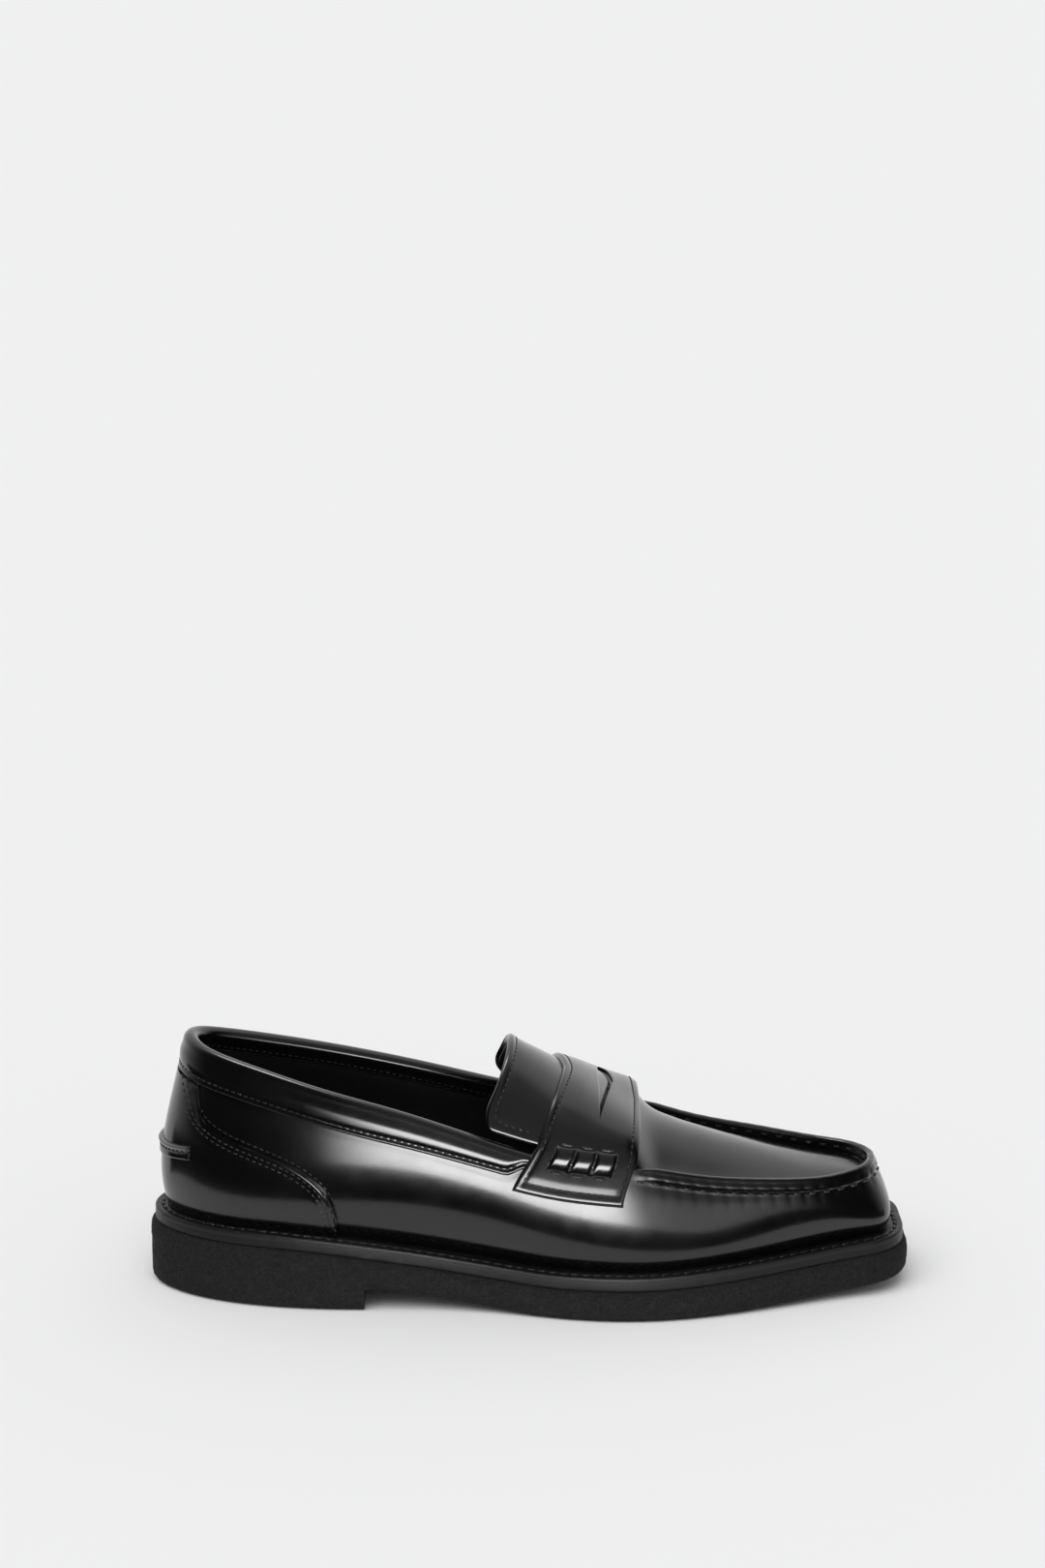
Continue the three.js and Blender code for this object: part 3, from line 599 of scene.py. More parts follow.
def waxed_thread():
    look = Look("waxed_thread", (0.01, 0.01, 0.011), 0.38)
    look.feed(look.shader, Base_Color=look.mixed(look.noise(0.6), (0.006, 0.006, 0.007),
                                                 (0.022, 0.021, 0.021)))
    twist = look.node("TexWave", [("wave_type", "BANDS"), ("bands_direction", "DIAGONAL")], Scale=500,
                      Distortion=1.5, Vector=look.where)
    look.bump((twist.outputs["Fac"], 0.12, 0.6), (look.noise(0.15, 2), 0.03, 0.4))
    return look.material


def grained(name, dark, light, roughness, grain_mm, depth_mm, **sockets):
    """A matt material of specks: cork, board, foam, fibre, steel."""
    look = Look(name, dark, roughness, **sockets)
    specks = look.span(look.noise(grain_mm, 5, 0.65), 0.35, 0.65, 0, 1)
    look.paint(look.mixed(specks, dark, light), grain_mm * 3, roughness - 0.07, roughness + 0.07)
    look.bump((look.cells(grain_mm * 1.6), depth_mm, 0.5),
              (look.noise(grain_mm * 0.4, 4), depth_mm * 0.4, 0.5))
    return look.material


LEATHER_MAT = polished_leather()
LINING_MAT = lining_leather()
RUBBER_MAT = rough_rubber()
WELT_MAT = smooth_edge("waxed_welt", (0.006, 0.006, 0.0062), 0.4)
EDGE_MAT = smooth_edge("trimmed_edge", (0.006, 0.006, 0.0062), 0.42)
THREAD_MAT = waxed_thread()


def dress_inner_nodes():
    """The CAD solids hidden inside the shoe keep their shape and take procedural materials."""
    fibre = grained("stiffener_fibre", (0.5, 0.42, 0.3), (0.66, 0.58, 0.44), 0.8, 0.9, 0.1)
    foam = grained("latex_foam", (0.05, 0.05, 0.053), (0.11, 0.11, 0.115), 0.9, 1.1, 0.3)
    looks = {
        "cork_filler": grained("pressed_cork", (0.12, 0.062, 0.03), (0.34, 0.2, 0.1), 0.85, 2.4, 0.4),
        "insole_board": grained("fibre_board", (0.3, 0.21, 0.12), (0.46, 0.34, 0.2), 0.8, 0.7, 0.1),
        "shank": grained("spring_steel", (0.3, 0.3, 0.31), (0.42, 0.42, 0.43), 0.4, 1.2, 0.02,
                         Metallic=1.0),
        "counter_stiffener": fibre, "toe_puff": fibre, "heel_pad": foam, "collar_foam": foam,
    }
    for node, look in looks.items():
        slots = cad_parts[node].data.materials
        slots.clear()
        slots.append(look)


# ---------------- sampling
AROUND = 2.4                  # length of a step round the shoe


def turns(start, end, step=AROUND):
    """Even values of t between two turns, about a step apart on the ground."""
    probe = np.linspace(start, end, 400)
    run = run_along(sole_curve(probe))
    count = max(3, int(round(run[-1] / step)))
    return np.interp(np.linspace(0, run[-1], count + 1), run, probe)


def mirrored(half):
    """Turns that end at the toe, and then the same ones back along the other side."""
    return np.concatenate([half, 1 - half[-2::-1]])


RING = mirrored(turns(0.0, 0.5))[:-1]


def wall_grid(ts, vs, depth):
    return wall_at(ts[:, None], vs, depth)


def hash_noise(points, size, seed=0.0):
    """Smooth repeatable noise from -1 to 1, in mm."""
    from_x, from_y, from_z = (points / size + seed).reshape(-1, 3).T
    waves = [(1.0, 0.3, 0.2), (-0.4, 1.1, 0.5), (0.3, -0.6, 1.2), (0.9, 0.8, -0.7), (-1.1, 0.5, 0.9)]
    total = sum(np.sin(6.283 * (a * from_x + b * from_y + c * from_z) + 1.7 * k + 2.1 * np.sin(
        3.1 * (b * from_x + c * from_y + a * from_z))) for k, (a, b, c) in enumerate(waves))
    return (total / len(waves)).reshape(points.shape[:-1])


# ---------------- bottom unit
def sole_rings(profile):
    """Rings for a list of (inset, height function)."""
    return np.stack([sole_point(RING, inset, height) for inset, height in profile])


def welt_rings(profile):
    """Rings for a list of (inset, drop below the welt's top)."""
    return sole_rings([(inset, lambda x, drop=drop: welt_z(x) - drop) for inset, drop in profile])


SANDING = 0.16                # how far the rough rubber's side wanders in and out
SANDING_SIZE = 5.0            # and over what length


def sanding(points):
    return (SANDING * hash_noise(points, SANDING_SIZE))[..., None]


HEEL_JOINT = 12               # how far the heel's top lies below the sole's upper edge


def heel_top(x):
    return np.maximum(tread_z(x), welt_z(x) - BAND - HEEL_JOINT)


def sole_bottom(x):
    return np.where(x < HEEL_BREAST, heel_top(x), tread_z(x))


EDGE_ROUND = 3.0              # rounding of the tread's edge


def corner_rings(bottom, radius):
    """Rings turning from the walking face up into the side; the radius may change along the shoe."""
    rings = []
    for a in np.linspace(0, math.pi / 2, 7):
        x = sole_curve(RING)[:, 0]
        inset = -FLARE + radius(x) * (1 - math.sin(a))
        rings.append(sole_point(RING, inset, lambda x, a=a: bottom(x) + radius(x) * (1 - math.cos(a))))
    return rings


def make_outsole():
    def top(x):
        return welt_z(x) - BAND

    def between_faces(s):
        return lambda x: mix(sole_bottom(x), top(x), s)

    def edge_round(x):
        return mix(0.01, EDGE_ROUND, ramp(x, HEEL_BREAST - 0.5, HEEL_BREAST + 3))
    rings = corner_rings(sole_bottom, edge_round)
    side = [(-FLARE - 0.2 * math.sin(math.pi * s), between_faces(0.32 + 0.46 * s))
            for s in np.linspace(0, 1, 5)]
    lip = [(-1.6, between_faces(0.86)), (-1.2, between_faces(0.93)), (-0.6, between_faces(0.98)),
           (-0.1, top), (1.6, top)]
    rings = np.concatenate([np.stack(rings), sole_rings(side + lip)])
    rings[1:-2] += outward(RING) * sanding(rings[1:-2])
    obj = stack("outsole", rings, RUBBER_MAT)
    stand_in("outsole")


def make_heel_block():
    """The heel continues the sole's side down to the ground behind its flat front face."""
    front = solve(lambda t: sole_curve(t)[..., 0], np.array([HEEL_BREAST]), 0.0, 0.25)[0]
    half = turns(0.0, front, 2.0)
    ts = np.concatenate([half, 1 - half[:0:-1]])
    breast_rows = 13 if len(ts) % 2 else 12

    def ring(inset, height):
        points = sole_point(ts, inset, height)
        points += outward(ts) * sanding(points)
        points[:, 0] = np.minimum(points[:, 0], HEEL_BREAST)
        a, b = points[len(half) - 1], points[len(half)]
        fill = mix(a, b, np.linspace(0, 1, breast_rows + 2)[1:-1, None])
        points = np.concatenate([points[:len(half)], fill, points[len(half):]])
        points[:, 2] = np.maximum(0, height(points[:, 0]))
        return points
    rings = [ring(-FLARE + EDGE_ROUND * (1 - math.sin(a)),
                  lambda x, a=a: 0 * x + EDGE_ROUND * (1 - math.cos(a)))
             for a in np.linspace(0, math.pi / 2, 6)]
    rings += [ring(-FLARE, lambda x, s=s: mix(EDGE_ROUND, heel_top(x), s)) for s in (0.35, 0.7, 1.0)]
    obj = stack("heel_block", np.stack(rings), RUBBER_MAT)
    stand_in("heel_block")


def make_midsole():
    profile = [(2.0, BAND), (0.2, BAND), (0.0, BAND - 0.2), (-0.08, BAND - 1.2), (-0.04, WELT + 0.7),
               (0.0, WELT + 0.02), (3.0, WELT + 0.02)]
    obj = stack("midsole", welt_rings(profile), EDGE_MAT)
    stand_in("midsole")


WELT_SEAM = 3.1               # distance of the welt seam from the edge


def make_welt():
    """A strip all round with rounded edges and a channel that the seam lies in."""
    profile = [(SHELF + 4, WELT), (0.0, WELT), (0.0, 0.8), (0.08, 0.42), (0.3, 0.14), (0.65, 0.01),
               (0.9, 0.0)]
    profile += [(d, 0.42 * float(groove(d, WELT_SEAM, 0.75))) for d in np.linspace(1.2, 5.2, 15)]
    profile += [(5.8, 0.0), (SHELF, 0.0), (SHELF + 4, 0.0)]
    rings = welt_rings(profile)
    faces = turned(grid_faces(*rings.shape[:2], round_u=True, round_v=True))
    obj = make_object("welt", rings.reshape(-1, 3), faces, WELT_MAT)
    stand_in("welt")
    ring = np.append(RING, 1.0)
    seam = sole_point(ring, WELT_SEAM, welt_z) - 0.35 * UP
    stitches = stitch_row(seam, np.broadcast_to(UP, seam.shape), 4.4, 3.7, 0.52, 0.5, 0.12)
    stitched("welt_stitching", stitches, "welt_stitching")


def make_insock():
    inset = SHELF + 6

    def height(x, low):
        return welt_z(x) + 2.5 + 2.4 * (1 - ramp(x, -90, -40)) + low
    profile = [(inset, 0.0), (inset - 0.1, 0.3), (inset - 0.1, 0.9), (inset + 0.3, 1.2), (inset + 4, 1.25)]
    rings = sole_rings([(i, lambda x, low=low: height(x, low)) for i, low in profile])
    obj = stack("insock", rings, LINING_MAT)
    stand_in("insock")


# ---------------- quarters, counter and collar
VAMP_TURN = float(turn_at(np.array([VAMP_REAR]), 1.0)[0])
BACK_SEAM = 0.0006            # half the gap of the back seam
STITCH = 2.7                  # pitch of the fine seams
FINE = dict(pitch=STITCH, length=2.0, radius=0.3, sink=0.42)


def collar_height(x):
    return mix(mix(14.6, 11, ramp(x, -70, 10)), 6.5, ramp(x, -9, 0))


def make_quarters():
    for name, medial in (("quarter_lateral", False), ("quarter_medial", True)):
        ts = turns(BACK_SEAM, VAMP_TURN - 0.00005)
        ts = 1 - ts if medial else ts
        top = below(ts, COLLAR_ROLL + GAP)
        vs = top[:, None] * np.linspace(0, 1, 26)
        drawn = 0.25 * groove(below_distance(ts, vs), collar_height(rim(ts)[:, 0:1]), 1.6)
        obj = shell(name, wall_grid(ts, vs, -drawn), wall_grid(ts, vs, -LEATHER), LEATHER_MAT)
        stand_in(name)


def make_quarter_lining():
    reach = float(turn_at(np.array([5.0]), 1.0)[0])
    ts = turns(-reach, reach)
    top = below(ts, COLLAR_INNER + GAP)
    vs = mix(0.02, top[:, None], np.linspace(0, 1, 20))
    wrinkle = 0.35 * hash_noise(wall(ts[:, None], vs), 26.0)
    obj = shell("quarter_lining", wall_grid(ts, vs, -LINING_DEPTH),
                wall_grid(ts, vs, -LINING_DEPTH - LINING - 0.2 + wrinkle * 0.5), LINING_MAT)
    stand_in("quarter_lining")


def smooth_line(points, steps=300):
    """Points along a curve that only follows its control points."""
    ends = np.concatenate([[2 * points[0] - points[1]], points, [2 * points[-1] - points[-2]]])
    along = np.linspace(0, len(points) - 1, steps)
    i = np.minimum(along.astype(int), len(points) - 2)
    return spline_point(*(ends[i + k] for k in range(4)), (along - i)[:, None])


COUNTER_LINE = smooth_line(COUNTER_EDGE)


def counter_top(ts):
    x = wall(ts, 0.5)[:, 0]
    foot = below(ts, collar_height(rim(ts)[:, 0])) - 0.012
    edge = height_v(ts, np.interp(x, COUNTER_LINE[:, 0], COUNTER_LINE[:, 1]))
    return np.where(x < COUNTER_EDGE[0, 0], foot, np.minimum(foot, edge))


COUNTER_REACH = float(solve(lambda t: wall(t, 0.3)[..., 0], np.array([COUNTER_EDGE[-1, 0]]), 0.02, 0.25)[0])
COUNTER_SEAMS = (1.8, 3.6)    # the two seams' distances from the counter's edge


def counter_distance(points):
    """Distance of points on the wall from the counter's curved edge, in the shoe's side view."""
    flat = points[..., [0, 2]].reshape(-1, 1, 2)
    return np.sqrt(((flat - COUNTER_LINE[None]) ** 2).sum(-1).min(1)).reshape(points.shape[:-1])


def counter_turns(reach):
    """Turns from one curved edge round the heel to the other, close together near the edges."""
    close = 0.03
    half = np.concatenate([turns(0.0, reach - close), reach - close * np.linspace(1, 0, 26)[1:] ** 1.5])
    return np.concatenate([-half[:0:-1], half])


def make_counter_overlay():
    ts = counter_turns(COUNTER_REACH)
    s = 1 - np.concatenate([[0, 0.004, 0.012, 0.025, 0.045, 0.07, 0.1, 0.14, 0.19],
                            np.linspace(0.25, 1, 16)])
    top = counter_top(ts)
    vs = mix(0.01, top[:, None], s)
    flat = wall(ts[:, None], vs)
    gap = counter_distance(flat)
    thick = OVERLAY * rounded(gap, 0.9)
    dents = 0.22 * sum(groove(gap, seam, 0.5) for seam in COUNTER_SEAMS)
    outer = wall_grid(ts, vs, GAP + thick - dents)
    obj = shell("counter_overlay", outer, wall_grid(ts, vs, 0.12), LEATHER_MAT)
    stand_in("counter_overlay")
    make_counter_stitching()


def counter_path(offset):
    """x and z along a line offset from the counter's edge, toward the heel when positive."""
    ahead = unit(np.gradient(COUNTER_LINE, axis=0))
    away = np.stack([ahead[:, 1], -ahead[:, 0]], -1)
    line = COUNTER_LINE + away * offset
    return line[(line[:, 1] > 33.5) & (line[:, 1] < 87)]


def on_wall(xz, medial):
    """t and v of the wall point seen at x, z from one side."""
    t = np.full(len(xz), 0.1)
    v = np.full(len(xz), 0.5)
    for _ in range(6):
        side = (lambda k: 1 - k) if medial else (lambda k: k)
        t = solve(lambda k: wall(side(k), v)[..., 0], xz[:, 0], 0.005, 0.3)
        v = solve(lambda k: wall(side(t), k)[..., 2], xz[:, 1], 0.0, 1.0)
    return (1 - t if medial else t), v


def make_counter_stitching():
    stitches = []
    for medial in (False, True):
        for offset, depth in (*((seam, SKIN - 0.2) for seam in COUNTER_SEAMS), (-1.6, -0.02)):
            t, v = on_wall(counter_path(offset), medial)
            points = wall_at(t, v, depth)
            stitches += stitch_row(points, normal(wall, t, v), **FINE)
    stitched("counter_stitching", stitches, "counter_stitching")


TAB_REACH = 0.06
TAB_LOW, TAB_HIGH = 52.6, 58.6
TAB_SEAM = 3.2                # above the tab's lower edge
TAB_CLIMB = 2.6               # how much higher the tab's ends are than its middle


def make_heel_tab():
    """A small rolled tab over the back seam with a piped upper edge."""
    ts = np.linspace(-TAB_REACH, TAB_REACH, 70)
    s = np.linspace(0, 1, 22)
    z = mix(TAB_LOW, TAB_HIGH, s) + TAB_CLIMB * (ts[:, None] / TAB_REACH) ** 2
    vs = height_v(ts[:, None] * np.ones_like(z), z)
    across = z - z[:, :1]
    below_edge = rounded(across, 0.8)
    piping = 0.9 * np.exp(-((across - 5.1) / 0.85) ** 2)
    closing = rounded(z[:, -1:] - z, 1.0)
    ends = rounded((TAB_REACH - np.abs(ts)) * 760, 1.2)[:, None]
    dent = 0.3 * groove(across, TAB_SEAM, 0.45)
    rise = (0.8 * below_edge * closing + piping * closing - dent) * ends
    outer = wall_grid(ts, vs, SKIN + 0.12 + rise)
    obj = shell("heel_tab", outer, wall_grid(ts, vs, SKIN + 0.02), LEATHER_MAT)
    stand_in("heel_tab")
    line_v = height_v(ts, TAB_LOW + TAB_SEAM + TAB_CLIMB * (ts / TAB_REACH) ** 2)
    points = wall_at(ts, line_v, SKIN + 0.7)
    stitched("heel_tab_stitching", stitch_row(points, normal(wall, ts, line_v), **FINE))


COLLAR_SEAM = 2.4             # seam above the collar's lower edge
COLLAR_INNER_SEAM = 7.0       # seam of the inner leg, below the rim
COLLAR_INNER = 3 * COLLAR_ROLL    # length of the inner leg


def make_collar_band():
    """An inverted channel of padded leather: an outer leg, a roll over the rim and an inner leg."""
    reach = float(turn_at(np.array([6.0]), 1.0)[0])
    ts = turns(-reach, reach, 2.0)
    height = collar_height(rim(ts)[:, 0])
    foot_v = below(ts, height)
    shoulder_v = below(ts, COLLAR_ROLL)
    shoulder = wall(ts, shoulder_v)
    n = normal(wall, ts, shoulder_v)
    climb = unit(wall(ts, 1.0) - shoulder)
    pucker = 0.5 + 0.5 * np.cos(2 * math.pi * run_along(shoulder) / STITCH)

    def section(skin_depth):
        s = np.concatenate([[0, 0.02, 0.05, 0.1], np.linspace(0.16, 1, 15)])
        vs = mix(foot_v[:, None], shoulder_v[:, None], s)
        up = (height - COLLAR_ROLL)[:, None] * s
        seam = groove(up, COLLAR_SEAM, 0.75) * (0.38 + 0.1 * pucker[:, None])
        padding = (height - COLLAR_ROLL - COLLAR_SEAM)[:, None]
        swell = 0.05 * padding * np.sin(math.pi * np.clip((up - COLLAR_SEAM) / padding, 0, 1)) ** 2
        skin_top = GAP + OVERLAY * rounded(up, 0.8) + swell - seam
        leg_out = wall_grid(ts, vs, skin_top if skin_depth == 0 else 0.14)
        middle = (SKIN - LINING_DEPTH - LINING) / 2
        half = (SKIN + LINING_DEPTH + LINING) / 2 - skin_depth
        angles = np.linspace(0, math.pi, 14)[1:-1]
        roll = np.stack([shoulder + n * (middle + half * math.cos(a))
                         + climb * ((COLLAR_ROLL - skin_depth) * math.sin(a)) for a in angles], 1)
        down = np.linspace(COLLAR_ROLL, COLLAR_INNER, 8)
        vs_in = below(ts, np.broadcast_to(down, (len(ts), len(down))))
        inner_depth = -LINING_DEPTH - LINING * rounded(COLLAR_INNER - down, 0.9) \
            + 0.3 * groove(down, COLLAR_INNER_SEAM, 0.6)
        leg_in = wall_grid(ts, vs_in, inner_depth if skin_depth == 0 else -LINING_DEPTH + 0.1)
        return np.concatenate([leg_out, roll, leg_in], 1)
    obj = shell("collar_band", section(0), section(OVERLAY), LEATHER_MAT)
    stand_in("collar_band")
    seam_reach = float(turn_at(np.array([-4.0]), 1.0)[0])
    run = turns(-seam_reach, seam_reach, 1.5)
    v = below(run, collar_height(rim(run)[:, 0]) - COLLAR_SEAM)
    stitches = stitch_row(wall_at(run, v, SKIN - 0.34), normal(wall, run, v), **FINE)
    v = below(run, COLLAR_INNER_SEAM)
    stitches += stitch_row(wall_at(run, v, -LINING_DEPTH - LINING + 0.2), -normal(wall, run, v), **FINE)
    stitched("collar_stitching", stitches, "collar_stitching")


# ---------------- vamp, ridge and apron
MOC_PITCH = 6.3


def toe_turns(x, step=AROUND):
    return mirrored(turns(float(turn_at(np.array([float(x)]), 1.0)[0]), 0.5, step))


def ridge_frame(ts):
    top = rim(ts)
    inward = crest(ts)[0] - top
    inward[..., 2] = 0
    return top, unit(inward), pinch(top[..., 0])


RIDGE_FOOT = 4.4              # where the ridge starts, below the rim
WALL_HEIGHT = 30.0            # rough height of the toe wall
VAMP_STEP = 1.05              # length of a step round the vamp, fine enough for its gathers


def make_vamp():
    """The toe wall, climbing into the sewn ridge round the apron."""
    ts = mirrored(turns(VAMP_TURN, 0.5, VAMP_STEP))
    top, inward, ridge = ridge_frame(ts)
    run = run_along(top)
    centre = run[len(run) // 2]
    pull = (0.5 + 0.5 * np.cos(2 * math.pi * (run - centre) / MOC_PITCH)) ** 3 * ridge
    shoulder = below(ts, RIDGE_FOOT)
    vs = shoulder[:, None] * np.linspace(0, 1, 26) ** 0.85
    drop = (shoulder[:, None] - vs) / np.maximum(shoulder[:, None], 1e-6) * WALL_HEIGHT
    gather = 0.16 * pull[:, None] * np.exp(-(drop / 3.5) ** 2)
    body = wall_grid(ts, vs, -0.25 * ridge[:, None] * np.exp(-(drop / 2.2) ** 2) - gather)
    out_n = normal(wall, ts, shoulder)
    foot = body[:, -1]
    width = mix(0.6, RIDGE_WIDTH - 0.1, ridge)
    high = mix(top, top + UP * 0.35 - inward * 0.3, ridge[:, None])
    lobe = ridge[:, None] * (1 - 0.25 * pull[:, None])
    rise = [foot + (high - foot) * s + out_n * (0.6 * math.sin(math.pi * min(1, s * 1.15)) * lobe)
            for s in (0.14, 0.3, 0.46, 0.62, 0.78, 0.9)]
    cap_centre = high + inward * (width / 2)[:, None]
    cap = [cap_centre - inward * (width / 2 * math.cos(a))[:, None]
           + UP * (math.sin(a) * (1.15 - 0.07 * pull) * ridge)[:, None]
           for a in np.linspace(0.25, math.pi, 8)]
    inner_foot = [cap[-1] - UP * (RIDGE * s * ridge + 0.02)[:, None] for s in (0.4, 0.8, 1.15)]
    outer = np.concatenate([body, np.stack(rise + cap + inner_foot, 1)], 1)
    inner_body = wall_grid(ts, vs, -LEATHER)
    hidden = wall_at(ts, shoulder, -LEATHER)
    target = inner_foot[-1] - inward * (0.6 * ridge)[:, None] - UP * 0.2
    count = outer.shape[1] - vs.shape[1]
    inner_rise = np.stack([mix(hidden, target, s) for s in np.linspace(0.05, 1, count)], 1)
    obj = shell("vamp", outer, np.concatenate([inner_body, inner_rise], 1), LEATHER_MAT)
    stand_in("vamp")
    make_moc_stitching(ts, run, centre, ridge, foot, out_n, cap, inward)


def make_moc_stitching(ts, run, centre, ridge, foot, out_n, cap, inward):
    """Hand-sewn stitches that dive into the ridge at its outer foot and come out at its inner one."""
    stitches = []
    count = int((run[-1] / 2) // MOC_PITCH)
    inner = cap[-1] - UP * 1.6
    for k in range(-count, count + 1):
        reach = centre + (k + 0.5) * MOC_PITCH
        if not run[0] < reach < run[-1] or np.interp(reach, run, ridge) < 0.25:
            continue
        for points, normals, rise, length in ((foot, out_n, 0.2, 3.4), (inner, inward, 0.1, 3.0)):
            middle = line_at(points, run, reach)
            out = unit(line_at(normals, run, reach))
            along = unit(line_at(points, run, reach + 0.6) - line_at(points, run, reach - 0.6))
            stitches.append(stitch_points(middle + out * rise, along, out, length, 0.5, 1.0))
    stitched("moc_seam_thread", stitches, "moc_seam_thread")


def make_apron():
    ts = toe_turns(STRAP_REAR_CREST + 1, 2.0)
    gs = (1 - np.linspace(0, 1, 34) ** 1.25) * 0.985      # gathered near the rim
    t_grid, g_grid = np.broadcast_arrays(ts[:, None], gs)
    ridge = pinch(rim(ts)[:, 0])[:, None]
    roll = ramp(g_grid, 0.9, 0.985) * ridge * 0.5
    soft = 0.22 * hash_noise(girth(t_grid, g_grid), 34.0) * ramp(1 - g_grid, 0, 0.3)
    soft = soft + soft[::-1]
    outer = girth_at(t_grid, g_grid, roll + soft * 0.5)
    inner = girth_at(t_grid, g_grid, -LEATHER)
    obj = shell("apron", outer, inner, LEATHER_MAT, slit=True)
    stand_in("apron")


def make_vamp_lining():
    ts = toe_turns(8, 4.0)
    gs = np.concatenate([np.linspace(1.94, 1.0, 16), np.linspace(0.93, 0, 14)])
    t_grid, g_grid = np.broadcast_arrays(ts[:, None], gs)
    obj = shell("vamp_lining", girth_at(t_grid, g_grid, -LINING_DEPTH - 0.1),
                girth_at(t_grid, g_grid, -LINING_DEPTH - LINING), LINING_MAT, slit=True)
    stand_in("vamp_lining")


# ---------------- saddle strap and beef rolls
def strap_rear(g):
    g = np.abs(g)
    return STRAP_REAR_CREST - 11.4 * g ** 1.4 - 3.4 * ramp(g, 0.9, STRAP_END)


def strap_front(g):
    g = np.abs(g)
    return STRAP_FRONT_CREST - 2.2 * g - 4 * ramp(g, 0.9, STRAP_END)


def strap_seat(g):
    g = np.abs(g)
    return mix(1.3, 2.5, np.clip((g - 0.98) / (STRAP_END - 0.98), 0, 1) ** 1.3)


def strap_lift(g, s):
    """Height of the strap over the upper: it dips towards its rear edge, where it lies on the tongue."""
    return strap_seat(g) * mix(0.3, 1, np.maximum(ramp(s, 0, 0.3), ramp(np.abs(g), 0.4, 1.02)))


def strap_at(g, s, depth):
    g, s = arrays(g, s)
    x = mix(strap_rear(g), strap_front(g), s)
    t = turn_at(x, np.abs(g), g > 0)
    return girth_at(t, np.abs(g), strap_lift(g, s) + depth)


def strap_width(g):
    return strap_front(g) - strap_rear(g)


SLOT_WIDEST = 0.16
SLOT_REAR, SLOT_FRONT, SLOT_POINT = 25.9, 31.9, 26.6     # the slot's lips at the crest and its points, as x


def slot_edges(g):
    """Shares across the strap of the slot's rear and front lips; they meet at the slot's points."""
    g = np.asarray(g, float)
    outer_side = np.clip((SLOT_WIDEST - g) / (SLOT_WIDEST + SLOT_REACH), 0, 1)
    inner_side = np.clip((g - SLOT_WIDEST) / (SLOT_REACH - SLOT_WIDEST), 0, 1) ** 1.8
    closing = np.where(g < SLOT_WIDEST, outer_side, inner_side)
    lips = [mix(widest, SLOT_POINT, closing) for widest in (SLOT_REAR, SLOT_FRONT)]
    return [(lip - strap_rear(g)) / strap_width(g) for lip in lips]


SLOT_SHUT = 0.02              # the slot counts as shut where it is narrower than this
STRAP_SEAM = 2.6              # seams' distance from the strap's edges
SIDE_MM = 30.0                # rough mm in one of g or of s on the strap's ends


def leaf_shares(lip, wide):
    """Shares across one leaf of the strap, close together at its outer edge and at the slot's lip."""
    from_edge = np.array([0, 0.06, 0.25, 0.55, 0.95, 1.5, 2.0, 2.6, 3.3, 4.6, 6.2]) / wide[:, None]
    to_lip = lip[:, None] - np.array([1.6, 0.9, 0.45, 0.15, 0.0]) / wide[:, None]
    between = mix(from_edge[:, -1:], to_lip[:, :1], np.linspace(0, 1, 5)[1:-1])
    return np.concatenate([from_edge, between, to_lip], 1)


def leaf_faces(rows, columns, is_open, start):
    """A closed shell, but for its lip in the rows where the slot is shut."""
    size = rows * columns
    far = columns - 1
    faces = grid_faces(rows, columns, start)
    faces += [face[::-1] for face in grid_faces(rows, columns, start + size)]
    for i in range(rows - 1):
        a, b = start + i * columns, start + (i + 1) * columns
        faces.append((a, a + size, b + size, b))
        if is_open[i] or is_open[i + 1]:
            faces.append((b + far, b + far + size, a + far + size, a + far))
    for j in range(start, start + far):
        end = j + (rows - 1) * columns
        faces.append((j, j + 1, j + 1 + size, j + size))
        faces.append((end + size, end + 1 + size, end + 1, end))
    return faces


